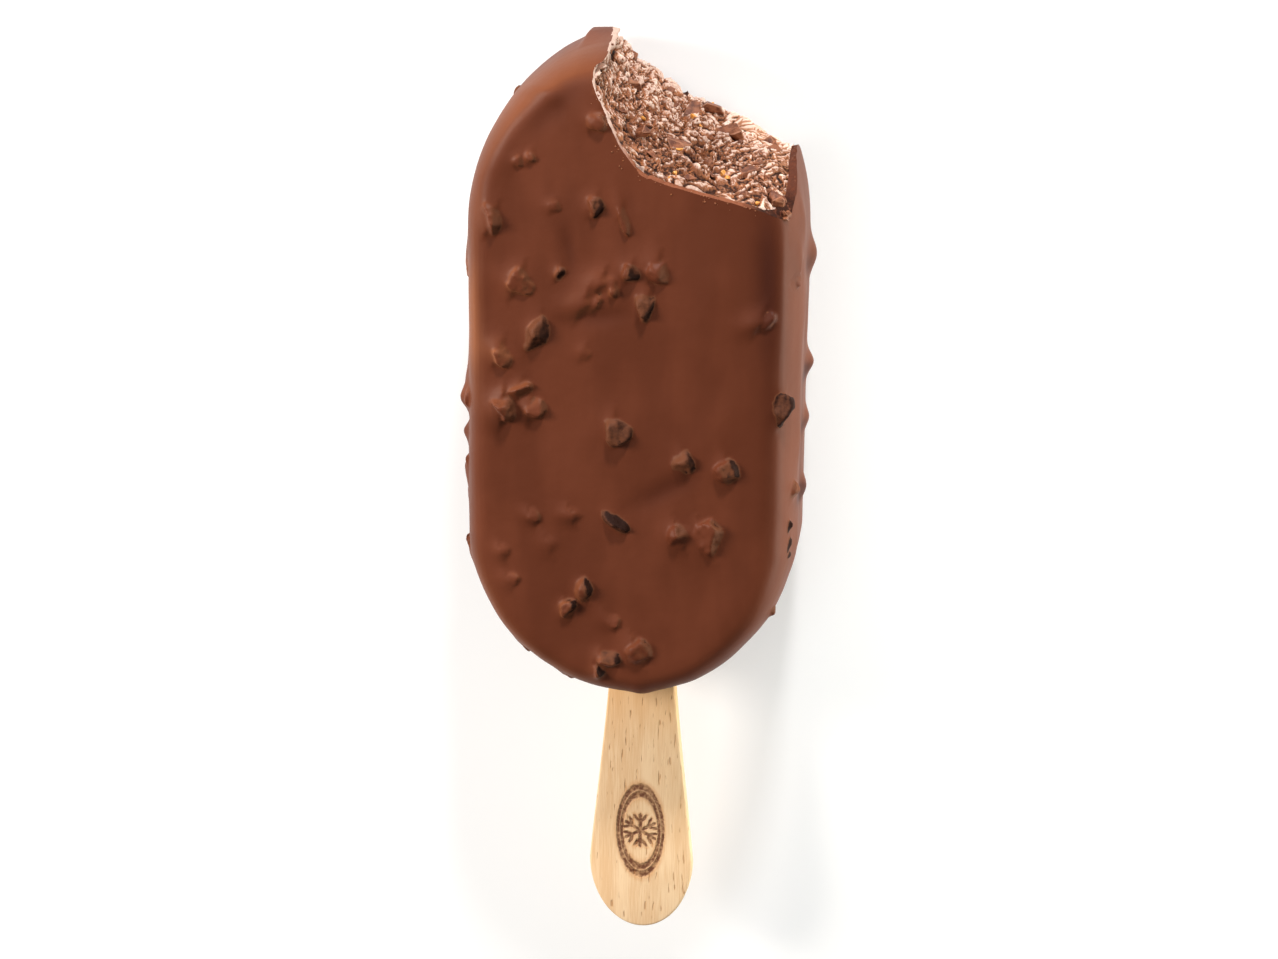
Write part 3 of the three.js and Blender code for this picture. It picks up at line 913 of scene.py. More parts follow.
@dataclass(frozen=True)
class BeechWood:
    """Pale unvarnished beech with short dark flecks along the grain, and a burnt mark near the held end."""

    pale: Colour = srgb(243, 210, 168)
    warm: Colour = srgb(228, 188, 142)
    painted_warm_bounce: Colour = srgb(232, 178, 116)
    fleck: Colour = srgb(186, 134, 86)
    burnt: Colour = srgb(92, 42, 16)
    scorched: Colour = srgb(206, 138, 74)
    mark_middle: Place = (0.5, -75.5, 0.0)
    mark_half_width: float = 3.5
    mark_half_length: float = 7.2
    line: float = 0.42

    def ring(self, across: Wire, along: Wire, share: float) -> Wire:
        """Distance in millimetres to an oval ring that is share of the mark's size.

        Args:
            across: Millimetres across the mark.
            along: Millimetres along it.
            share: The ring's size.

        Returns:
            The distance.
        """
        wide = across / (self.mark_half_width * share)
        long = along / (self.mark_half_length * share)
        reach = (wide * wide + long * long) ** 0.5
        return (reach - 1.0).absolute() * (self.mark_half_width * share)

    def crystal(self, across: Wire, along: Wire, reach: float) -> Wire:
        """Distance in millimetres to a snow crystal: three crossing bars, each with a pair of barbs.

        Args:
            across: Millimetres across the mark.
            along: Millimetres along it.
            reach: The length of a bar's half.

        Returns:
            The distance.
        """
        nearest: Wire | None = None
        for turn in (90.0, 30.0, 150.0):
            c, s = math.cos(math.radians(turn)), math.sin(math.radians(turn))
            run = (across * c + along * s).absolute()
            off = (along * c - across * s).absolute()
            bar = (run - reach).most(0.0) + off
            barb = ((run - reach * 0.55) - off).absolute() * 0.71 + (off - reach * 0.33).most(0.0)
            both = bar.least(barb)
            nearest = both if nearest is None else nearest.least(both)
        return nearest

    def material(self) -> bpy.types.Material:
        """The wood's nodes.

        Returns:
            The material.
        """
        recipe = Recipe("beech_wood")
        spot = recipe.coordinates()
        along = recipe.coordinates(scale=(1.0, 0.09, 1.0))
        flecks = recipe.noise(recipe.coordinates(scale=(1.0, 0.16, 1.0)), 2.3, 2.0, 0.4)
        bands = recipe.noise(along, 0.42, 3.0)
        fibres = recipe.noise(recipe.coordinates(scale=(1.0, 0.045, 1.0)), 5.5, 3.0)
        wood = recipe.mix((bands * 0.6 + fibres * 0.4).between(0.38, 0.62), self.warm, self.pale)
        # Painted warm bounce light and shade from the chocolate, on the stick near the bar.
        near_bar = recipe.axes(spot)[1].between(-64.0, -47.0)
        wood = recipe.mix(near_bar * 0.8, wood, self.painted_warm_bounce)
        marks = flecks.between(0.645, 0.73)
        wood = recipe.mix(marks * 0.75, wood, self.fleck)
        across, up, height = recipe.axes(recipe.coordinates(shift=self.mark_middle))
        wobble = (recipe.noise(spot, 1.3, 2.0) - 0.5) * 0.5
        gap = self.ring(across, up, 1.0).least(self.ring(across, up, 0.84))
        gap = gap.least(self.crystal(across, up, 2.6)) + wobble.absolute()
        on_top = height.between(14.2, 14.5)
        burn = gap.between(self.line, self.line * 0.35) * on_top
        glow = gap.between(self.line * 2.1, self.line * 0.5) * on_top
        wood = recipe.mix(glow * 0.5, wood, self.scorched)
        uneven = recipe.noise(spot, 1.7, 3.0).between(0.3, 0.62)
        wood = recipe.mix(burn * (0.45 + uneven * 0.5), wood, self.burnt)
        grain = recipe.bump(1.0 - marks * 0.6 - fibres * 0.25, 0.12)
        sunk = recipe.bump(1.0 - burn, 0.12, under=grain)
        return recipe.finish(Base_Color=wood, Roughness=0.62 - marks * 0.1, Normal=sunk)


# ---- The bar's form ------------------------------------------------------------------------------------


# How far the right side is drawn in, at places along the bar: round the foot, and low down beside the bite.
# Below 0 it stands out.
FOOT_DRAWN_IN = ((-50, -47, -42, -36, -31.6, -26.5, -21, -18), (0, 0.6, 1.6, 1.7, 1.75, 1.3, 0.3, 0))
SIDE_DRAWN_IN = ((-24, -18, 0, 4, 10, 32, 40), (0, -0.6, -0.6, 0, 0.9, 0.9, 0))


@dataclass(frozen=True)
class BarForm:
    """The whole bar before it was bitten: round-ended, with a rounded side."""

    half_width: float = 25.1
    half_thickness: float = 13.0
    middle_z: float = 13.9
    tip_height: float = 28.0
    tip_centre: float = 22.0
    foot_centre: float = -24.9
    edge_inset: float = 5.5
    edge_power: float = 3.0
    drawn_below: float = 20.0
    drawn_over: float = 15.0
    front_share: float = 0.5
    around: int = 144
    ring_heights: tuple[float, ...] = (0.28, 0.46, 0.6, 0.71, 0.8, 0.87, 0.92, 0.955, 0.98, 0.994, 1.0)

    def inset_at_height(self, height: float) -> float:
        """How far the side is set in at a height from -1 to 1."""
        return self.edge_inset * (1 - (1 - abs(height) ** self.edge_power) ** (1 / self.edge_power))

    def tip_radius(self, angle: float) -> float:
        """Distance from the tip's centre to the outline, in a direction."""
        return 1 / math.hypot(math.cos(angle) / self.half_width, math.sin(angle) / self.tip_height)

    def inset_at(self, x: float, y: float) -> float:
        """How far a point lies inside the outline.

        Args:
            x: The place across.
            y: The place along.

        Returns:
            The distance, in millimetres.
        """
        if y > self.tip_centre:
            angle = math.atan2(y - self.tip_centre, x)
            return self.tip_radius(angle) - math.hypot(x, y - self.tip_centre)
        if y < self.foot_centre:
            return self.half_width - math.hypot(x, y - self.foot_centre)
        return self.half_width - abs(x)

    def side_direction(self, x: float, y: float) -> Vector:
        """The side's outward direction near a point.

        Args:
            x: The place across.
            y: The place along.

        Returns:
            The direction, level and of length 1.
        """
        if y > self.tip_centre:
            return Vector((x, y - self.tip_centre, 0)).normalized()
        if y < self.foot_centre:
            return Vector((x, y - self.foot_centre, 0)).normalized()
        return Vector((math.copysign(1, x), 0, 0))

    def on_face(self, x: float, y: float, front: bool = True) -> Vector:
        """The point of the front or back above or below a place.

        Args:
            x: The place across.
            y: The place along.
            front: Whether it is on the front.

        Returns:
            The point.
        """
        rest = 1 - min(1.0, max(0.0, self.inset_at(x, y) / self.edge_inset))
        height = self.half_thickness * (1 - rest**self.edge_power) ** (1 / self.edge_power)
        return Vector((x, y, self.middle_z + (height if front else -height)))

    def on_side(self, x: float, y: float, z: float) -> Vector:
        """The point of the side nearest to a place, at its height."""
        inset = self.inset_at_height((z - self.middle_z) / self.half_thickness)
        return Vector((x, y, z)) + self.side_direction(x, y) * (self.inset_at(x, y) - inset)

    def outward(self, point: Vector) -> Vector:
        """The skin's outward direction at a point on it.

        Args:
            point: The point.

        Returns:
            The direction, of length 1.
        """
        rest = 1 - min(1.0, max(0.0, self.inset_at(point.x, point.y) / self.edge_inset))
        height = (point.z - self.middle_z) / self.half_thickness
        out = self.side_direction(point.x, point.y) * (rest ** (self.edge_power - 1) / self.edge_inset)
        out.z = math.copysign(abs(height) ** (self.edge_power - 1), height) / self.half_thickness
        return out.normalized()

    def drawn_in(self, points: np.ndarray, beside_bite: float = 1.0) -> np.ndarray:
        """Points of a piece, drawn in where the moulded bar is slimmer, low on its right and round the foot.

        Args:
            points: The points, in millimetres, a row each.
            beside_bite: The share of it that is done beside the bite, where the coating gets thinner.

        Returns:
            Where they move to.
        """
        x, y, z = points.T
        low = fade(z, self.drawn_below, -self.drawn_over)
        at_foot = self.front_share + (1 - self.front_share) * low
        depth = np.interp(y, *FOOT_DRAWN_IN) * at_foot + np.interp(y, *SIDE_DRAWN_IN) * low * beside_bite
        from_axis = np.minimum(y - self.foot_centre, 0)
        reach = np.hypot(x, from_axis) + 1e-9
        depth *= fade(reach, 9, 14) * fade(x, 6, 6)
        return points - np.column_stack([depth * x / reach, depth * from_axis / reach, 0 * z])

    def build(self, name: str, side: float = 0.0, face: float = 0.0) -> Object:
        """Models the form: an outline, raised and inset ring by ring, mirrored to the back.

        Args:
            name: The new piece's name.
            side: How far its side is set in.
            face: How far its front and back are set in.

        Returns:
            The closed form.
        """
        radius = self.half_width - side
        settings = {"vertices": self.around, "radius": radius * MM, "fill_type": "NGON"}
        form = Bench.primitive(bpy.ops.mesh.primitive_circle_add, name, **settings)
        upper = Bench.points(form)[:, 1] > -0.01
        with Bench.editing(form, upper):
            bpy.ops.transform.translate(value=(0, self.tip_centre * MM, 0))
            bpy.ops.transform.resize(
                value=(1, (self.tip_height - side) / radius, 1),
                center_override=(0, self.tip_centre * MM, 0),
            )
        with Bench.editing(form, ~upper):
            bpy.ops.transform.translate(value=(0, self.foot_centre * MM, 0))
        deep = self.half_thickness - face
        share = 1 - side / self.half_thickness
        with Bench.editing(form):
            bpy.ops.mesh.select_mode(type="FACE")
            inset, height = 0.0, 0.0
            for ring in self.ring_heights:
                next_inset = self.inset_at_height(ring) * share
                bpy.ops.mesh.inset(
                    thickness=max(next_inset - inset, 1e-4) * MM,
                    depth=(ring * deep - height) * MM,
                    use_boundary=True,
                    use_even_offset=True,
                )
                inset, height = next_inset, ring * deep
        Bench.modify(form, "MIRROR", use_axis=(False, False, True), merge_threshold=1e-6)
        with Bench.editing(form):
            bpy.ops.transform.translate(value=(0, 0, self.middle_z * MM))
            Bench.face_outward()
        Bench.set_points(form, self.drawn_in(Bench.points(form), 0.3 if side else 1.0))
        return form


BAR = BarForm()
COAT_ON_SIDE = 1.4
COAT_ON_FACE = 0.8
CREAM_GAP = 0.04  # the ice cream is frozen to its coating
SLOT_GAP = 0.06  # and the stick to both


# ---- The bite ------------------------------------------------------------------------------------------


@dataclass(frozen=True)
class Bite:
    """The bitten surface: three lines across it, at the front, half way down and at the back."""

    front: tuple[Span, ...] = (
        (-3.6, 57), (-4.9, 49.6), (-5.2, 46), (-3.4, 41.2), (-0.55, 35.4), (2.9, 31.9),
        (9.5, 30.2), (16.9, 28.5), (22.2, 26.9), (26, 23.4), (34, 20),
    )  # fmt: skip
    middle: tuple[Span, ...] = (
        (-3.6, 57), (-4.9, 49.6), (-5.2, 46.4), (-3.6, 42.4), (-0.6, 38.6), (3, 35.8),
        (8.5, 33.6), (14, 32.6), (19, 32.1), (24, 32.3), (34, 32),
    )  # fmt: skip
    back: tuple[Span, ...] = (
        (-9, 57), (-7.8, 49.6), (-5.9, 46.6), (-3.4, 43.2), (-0.4, 41.3), (3.2, 39),
        (8, 36.5), (13, 34.3), (18, 31.2), (23, 30.4), (34, 30),
    )  # fmt: skip
    front_z: float = BAR.middle_z + 12
    back_z: float = BAR.middle_z - 12
    away: Place = (44.0, 66.0, 0.0)
    samples: int = 400

    @staticmethod
    def curve(points: tuple[Span, ...], share: np.ndarray) -> np.ndarray:
        """A smooth line through points, at shares of the way along it.

        Args:
            points: What the line goes through.
            share: The shares.

        Returns:
            The places, a row each.
        """
        given = np.array(points, float)
        last = len(given) - 1
        at = np.clip(share, 0, 1) * last
        i = np.minimum(np.floor(at).astype(int), last - 1)
        t = (at - i)[:, None]
        p0, p1 = given[np.maximum(i - 1, 0)], given[i]
        p2, p3 = given[i + 1], given[np.minimum(i + 2, last)]
        v0, v1 = (p2 - p0) / 2, (p3 - p1) / 2
        return (2 * p1 - 2 * p2 + v0 + v1) * t**3 + (3 * p2 - 3 * p1 - 2 * v0 - v1) * t**2 + v0 * t + p1

    def surface(self, share: np.ndarray, z: np.ndarray) -> np.ndarray:
        """Points on the bitten surface, a row each.

        Args:
            share: Shares of the way along it.
            z: Heights.

        Returns:
            The points.
        """
        w = np.clip((self.front_z - z) / (self.front_z - self.back_z), -0.1, 1.1)[:, None]
        plan = (
            self.curve(self.front, share) * (1 - w) * (1 - 2 * w)
            + self.curve(self.middle, share) * 4 * w * (1 - w)
            + self.curve(self.back, share) * w * (2 * w - 1)
        )
        return np.column_stack([plan, z])

    def outward(self, share: np.ndarray, z: np.ndarray) -> np.ndarray:
        """The surface's direction out of the bar, a row for each point.

        Args:
            share: Shares of the way along it.
            z: Heights.

        Returns:
            The directions, of length 1.
        """
        step = 0.004
        along = self.surface(np.minimum(share + step, 1), z) - self.surface(np.maximum(share - step, 0), z)
        down = self.surface(share, z - 0.5) - self.surface(share, z + 0.5)
        out = np.cross(along, -down)
        out *= np.sign(out[:, :1] + out[:, 1:2])
        return out / np.linalg.norm(out, axis=1, keepdims=True)

    def length_table(self) -> tuple[np.ndarray, np.ndarray]:
        """Shares of the way along the middle line, and the millimetres up to each.

        Returns:
            The shares, and the millimetres.
        """
        share = np.linspace(0, 1, self.samples)
        line = self.curve(self.middle, share)
        steps = np.linalg.norm(np.diff(line, axis=0), axis=1)
        return share, np.concatenate([[0], np.cumsum(steps)])

    def share_at(self, along: np.ndarray) -> np.ndarray:
        """The share of the way that lies at these millimetres along the middle line."""
        share, lengths = self.length_table()
        return np.interp(along, lengths, share)

    def rough_surface(self, along: np.ndarray, z: np.ndarray, relief: Relief) -> np.ndarray:
        """Points on the surface, moved out or in by a relief of places along and up it.

        Args:
            along: Millimetres along the middle line.
            z: Heights.
            relief: How far out it is moved.

        Returns:
            The points.
        """
        share = self.share_at(along)
        points = self.surface(share, z) + self.outward(share, z) * relief(along, z)[:, None]
        points[:, 0] += np.maximum(along - self.length_table()[1][-1], 0)
        return points

    def cutter(self, name: str, span: Span, rise: Span, step: float, relief: Relief) -> Object:
        """What the bite takes away: a fine rough sheet on the bitten surface, drawn out past the bar.

        Args:
            name: The new piece's name.
            span: Where the sheet starts and ends along the middle line.
            rise: Its lowest and highest place.
            step: The size of its faces.
            relief: Its roughness, for places along and up it.

        Returns:
            The closed cutter.
        """
        columns, rows = (round((high - low) / step) for low, high in (span, rise))
        settings = {"x_subdivisions": columns, "y_subdivisions": rows, "size": 2 * MM}
        sheet = Bench.primitive(bpy.ops.mesh.primitive_grid_add, name, **settings)
        along, z = np.meshgrid(np.linspace(*span, columns + 1), np.linspace(*rise, rows + 1))
        Bench.set_points(sheet, self.rough_surface(along.ravel(), z.ravel(), relief))
        with Bench.editing(sheet):
            away = tuple(v * MM for v in self.away)
            bpy.ops.mesh.extrude_region_move(TRANSFORM_OT_translate={"value": away})
            Bench.face_outward()
        return sheet


BITE = Bite()


# ---- Chopped pieces ------------------------------------------------------------------------------------


class Cover(Enum):
    """How the chocolate lies on a piece: softness, bareness of its top, strength of the painted shade on its
    lee, and bulk.
    """

    SMOOTH = (1.0, 0.0, 0.1, 0.45)
    SHADED = (0.9, 0.25, 1.2, 0.55)
    THIN = (0.65, 0.0, 0.45, 1.25)
    BARE = (0.35, 0.45, 0.4, 1.3)
    DARK = (0.5, 0.15, 0.95, 1.25)
    NIB = (0.3, 0.7, 0.6, 1.3)

    @property
    def softness(self) -> float:
        """How wide and high the chocolate swells round the piece."""
        return self.value[0]

    @property
    def bareness(self) -> float:
        """How much of the piece's top shows through."""
        return self.value[1]

    @property
    def darkness(self) -> float:
        """How strongly its steep side is painted dark as shade."""
        return self.value[2]

    @property
    def bulk(self) -> float:
        """How thick the piece itself is, as a share of the lump's height."""
        return self.value[3]


LEE_TURN = 22.0
LEE_MIDDLE = -8.0


@dataclass(frozen=True)
class Lump:
    """A chopped piece in the coating: its place, size in millimetres, and turn in degrees."""

    x: float
    y: float
    length: float
    width: float
    height: float
    turn: float = 0.0
    cover: Cover = Cover.THIN
    z: float | None = None
    front: bool = True

    def point(self) -> Vector:
        """Where it lies on the skin.

        Returns:
            The point.
        """
        on_side = self.z is not None
        at = BAR.on_side(self.x, self.y, self.z) if on_side else BAR.on_face(self.x, self.y, self.front)
        return Vector(BAR.drawn_in(np.array([at]))[0])

    def lee(self) -> Vector:
        """The side that the chocolate ran off, steep and painted dark as shade: right, and away from the
        middle.
        """
        turn = math.radians(LEE_TURN * max(-1.0, min(1.0, (LEE_MIDDLE - self.y) / 12)))
        return Vector((math.cos(turn), math.sin(turn), 0))

    def frame(self) -> Matrix:
        """Its own axes as a turn: along, across, and out of the skin.

        Returns:
            The turn.
        """
        out = BAR.outward(self.point())
        flat = abs(out.z) > 0.7
        across = out.cross(Vector((1, 0, 0)) if flat else Vector((0, 0, 1))).normalized()
        along = across.cross(out)
        if not flat:
            along.negate()
        return lying(along, out) @ turned(self.turn, "Z")


S, T, B, D, N = Cover.SMOOTH, Cover.THIN, Cover.BARE, Cover.DARK, Cover.NIB

FRONT_LUMPS = tuple(Lump(*row) for row in (
    (-16, 33.1, 1.4, 1.2, 0.7, 0, T), (-14.1, 33.7, 1.3, 1.4, 0.8, 0, T),
    (-10.6, 26.7, 1.8, 1.1, 0.8, 0, T), (-4.7, 27, 2.4, 2.4, 1.2, 0, D),
    (-0.8, 26.2, 4.9, 0.9, 0.7, -72, T), (-19.9, 23.7, 4.9, 2, 1.6, -75, T),
    (-15.8, 15, 3.7, 3.4, 1.5, 20, T), (-10, 16.5, 1.8, 1.4, 0.8, 90, D),
    (-3.6, 15.5, 3.4, 2.1, 1, 10, S), (-6.1, 12.1, 4.3, 2.4, 1, 20, S),
    (0.7, 17.4, 2.7, 2.1, 1.6, -40, D), (4.5, 18.3, 3.7, 2.9, 1.2, -50, T),
    (-1.7, 14.5, 1.8, 1.2, 0.9, 80, T), (3, 12.5, 4.3, 2, 1.7, 90, B),
    (-13.5, 7.2, 4.3, 2.7, 1.6, 75, B), (-18.8, 3.8, 3.4, 2.3, 1.4, -60, T),
    (-6.1, 4.6, 1.5, 1.5, 0.5, 0, S), (-15.5, -1.4, 4.3, 1.5, 1.3, 22, T),
    (-18.1, -4.5, 4, 3.2, 2.2, 50, T), (-14, -4.5, 3.1, 2.7, 1.5, 0, T),
    (-1.4, -6.9, 4.4, 3.1, 1.8, -52, B), (8.8, -11.3, 3.7, 2.4, 1.3, 80, B),
    (15.4, -11.8, 3.5, 3.1, 1.6, 40, D), (19.9, 11, 3.9, 1.9, 1.0, 20, S),
    (23.2, -2.6, 4.3, 2.6, 1.7, 80, N), (-14, -21.1, 2.1, 1.7, 0.9, -20, T),
    (-7.8, -20.5, 2.4, 1.5, 0.9, 0, S), (-0.9, -21.4, 4.4, 1.5, 1.3, -33, N),
    (8.5, -22.6, 3.4, 2.9, 1.6, 30, T), (12.7, -22.7, 4.6, 3.7, 1.4, 80, T),
    (-18.4, -27, 1.5, 1.5, 0.7, 0, S), (-11.3, -25.3, 2.7, 2.4, 0.5, 0, S),
    (-17.4, -31.6, 2.4, 1.8, 0.5, 0, S), (-5.8, -32.1, 3.1, 2.1, 1.4, 70, D),
    (-8.4, -35.2, 2.7, 1.7, 1.5, 50, D), (-2.1, -36.9, 2.7, 1.8, 0.6, -20, T),
    (2.4, -41, 4, 3.4, 1.5, 40, T), (-2.7, -42.9, 3.4, 2.1, 1.7, 0, D),
    (-3.8, -45, 2.1, 1.8, 1.2, 0, D), (-4.7, 39.7, 3.1, 2.1, 0.8, -20, T),
))  # fmt: skip

SIDE_LUMPS = tuple(Lump(*row) for row in (
    (-25.1, 15.2, 5.5, 3.4, 0.9, 90, S, 19), (-25.1, -5.0, 4.4, 3.4, 1.8, 90, S, 21.5),
    (-25.1, -10.8, 3.0, 2.6, 1.3, 90, S, 20), (-25.1, -16.0, 3.8, 2.4, 0.9, 60, S, 21),
    (-25.1, -20.4, 2, 2, 0.5, 0, S, 19), (-24.8, -29.6, 3.8, 2.4, 0.7, 90, S, 20.5),
    (-15.9, -43.2, 2.6, 2.2, 0.6, 0, S, 22), (-9.5, -48, 2.6, 1.8, 0.5, 0, S, 22.5),
    (25.1, 18.1, 4.6, 1.6, 0.7, 85, S, 22.4), (25.1, -16.2, 2.2, 1.4, 0.6, 60, T, 22),
    (25.1, -21.5, 1.3, 0.5, 0.25, 85, N, 23), (25.1, -24.6, 1.6, 0.5, 0.25, 75, N, 22.5),
    (25.1, -26.4, 0.8, 0.5, 0.25, 0, N, 22), (22.4, -36, 1.6, 1.4, 0.6, 0, T, 21.5),
))  # fmt: skip


@dataclass(frozen=True)
class Swell:
    """A soft rise of the skin, or a dip where its height is below 0, which is also painted dark as shade."""

    x: float
    y: float
    length: float
    width: float
    height: float
    turn: float = 0.0
    z: float | None = None
    darkness: float = 0.4

    def lump(self) -> Lump:
        """The same place and turn as a lump, for its axes."""
        return Lump(self.x, self.y, self.length, self.width, self.height, self.turn, z=self.z)


# Each dip is also painted dark as shade: its eighth number says how strongly, 0.4 where it has none.
SWELLS = tuple(Swell(*row) for row in (
    (20.8, 18, 24, 3.6, -0.35, 91, None, 0.95), (21.6, -8, 44, 2.2, -0.12, 90, None, 0.35),
    (25.1, 16.4, 3, 5, -0.15, 90, 14, 0.7), (25.1, 17, 4.6, 4.4, 1.2, 90, 10.8),
    (25.1, -0.3, 2.6, 3.6, 1.3, 90, 8.5), (25.1, -0.8, 1.7, 5.5, -0.1, 90, 12.5, 1.7),
    (25.1, -8.2, 2.4, 3.2, 0.8, 90, 11), (25.1, -8.6, 1.5, 4.5, -0.1, 90, 14, 0.9),
    (25.1, -18.4, 2.8, 3.2, 0.9, 90, 13), (25.1, -18.6, 1.9, 5.5, -0.1, 90, 16, 1.7),
    (25.1, 25, 7, 3, 0.3, 90, 19.5), (25.1, 11, 9, 2.6, 0.3, 90, 18),
    (25.1, 6, 10, 2.6, -0.3, 90, 13, 0.2), (25.1, -9, 8, 2.4, 0.25, 90, 20),
    (25.1, -26, 9, 2.6, 0.3, 90, 18), (22.6, 16, 20, 2.4, 0.25, 91),
    (5.9, -15.9, 10, 2.6, -0.3, 32, None, 0.5), (-12.6, 43.6, 10, 2, 0.35, 44),
    (-10.5, 41.5, 11, 3, -0.3, 46), (-4.2, 10.2, 8, 2.4, -0.3, 10), (-8.5, 20.5, 6, 1.6, -0.25, 100),
    (12, 14, 16, 7, 0.25, 95), (-19, 34, 9, 4, 0.3, 60), (2.2, -48.5, 6, 2.6, 0.35, 0),
    (14, -6, 12, 5, 0.22, 60), (25.1, 4, 26, 3, 0.3, 90, 20.5), (25.1, -12, 22, 3.5, -0.25, 90, 16),
    (-25.1, 2, 20, 5, 0.3, 90, 18),
))  # fmt: skip


class ChoppedPieces:
    """Chopped almonds and cocoa nibs: a few broken shapes, of which every lump is a copy."""

    kinds = 7
    radius = 1.15  # of the ball that each is broken from
    planes = 9
    reach = (0.6, 0.9)
    worn = 0.05
    voxel = 0.09
    crag_size = 0.35
    crag_height = 0.25
    width = 1.6  # of a broken shape
    sunk = 0.25
    tilt = 17.0

    def __init__(self, seed: int) -> None:
        """Starts the draws of the broken shapes."""
        self.random = random.Random(seed)
        self.shapes = [self.broken_shape(i) for i in range(self.kinds)]

    def broken_shape(self, index: int) -> Object:
        """A ball with its sides broken off flat, its edges worn and its faces rough, 2 mm across.

        Args:
            index: The number in its name.

        Returns:
            The shape.
        """
        name, radius = f"chopped_shape_{index}", self.radius * MM
        shape = Bench.primitive(bpy.ops.mesh.primitive_ico_sphere_add, name, subdivisions=3, radius=radius)
        with Bench.editing(shape):
            for _ in range(self.planes):
                out = Vector([self.random.gauss(0, 1) for _ in range(3)]).normalized()
                reach = self.random.uniform(*self.reach) * MM
                bpy.ops.mesh.select_all(action="SELECT")
                bpy.ops.mesh.bisect(plane_co=out * reach, plane_no=out, use_fill=True, clear_outer=True)
        Bench.wear(shape, self.worn)
        Bench.modify(shape, "REMESH", mode="VOXEL", voxel_size=self.voxel * MM)
        crags = bpy.data.textures.new("crags", "CLOUDS")
        crags.noise_scale = self.crag_size * MM
        height = self.crag_height * MM
        Bench.modify(shape, "DISPLACE", texture=crags, texture_coords="LOCAL", strength=height)
        bpy.data.textures.remove(crags)
        return shape

    def place(self, lump: Lump) -> tuple[int, Matrix]:
        """Which shape a lump is, and its place, half sunk in the skin.

        Args:
            lump: The lump.

        Returns:
            The shape's number, and the place.
        """
        which = self.random.randrange(self.kinds)
        half_turn = self.random.choice((0, math.pi))
        own_turn = Matrix.Rotation(half_turn + self.random.uniform(-0.3, 0.3), 4, "X")
        thick = lump.height * lump.cover.bulk
        size = Matrix.Diagonal((lump.length / self.width, lump.width / self.width, thick, 1))
        out = BAR.outward(lump.point())
        sunk = Matrix.Translation(lump.point() - out * (self.sunk * lump.height))
        lee_up = turned(-self.tilt, out.cross(lump.lee()))
        return which, sunk @ lee_up @ lump.frame() @ size @ own_turn

    def clear(self) -> None:
        """Removes the shapes once their copies are made."""
        for shape in self.shapes:
            Bench.remove(shape)


# ---- The coating ---------------------------------------------------------------------------------------

TIP_TOP = 50.9  # the tip is squared off at this length, less towards the back
TIP_SLOPE = 0.35
# The wedge of chocolate at the tip: starts and widths for fade, from its left end, from its right end, by how
# much the skin faces the tip, and downwards.
WEDGE = ((-9.3, 0.9), (-1, -2), (0.62, 0.28), (18, -6))
SWELL_REACH = (0.5, 0.5, 4.0)  # shares of a swell's length and width, and millimetres into the skin
# The painted warm light on the left shoulder: how much of it there is at places along the bar.
SHOULDER_LIGHT_ALONG = ((-40, -33, -26, -8, 0, 4, 12, 18, 30, 40), (0.6, 0.5, 0.12, 0.12, 0.45, 1, 1, 0.4, 0.25, 0.45))


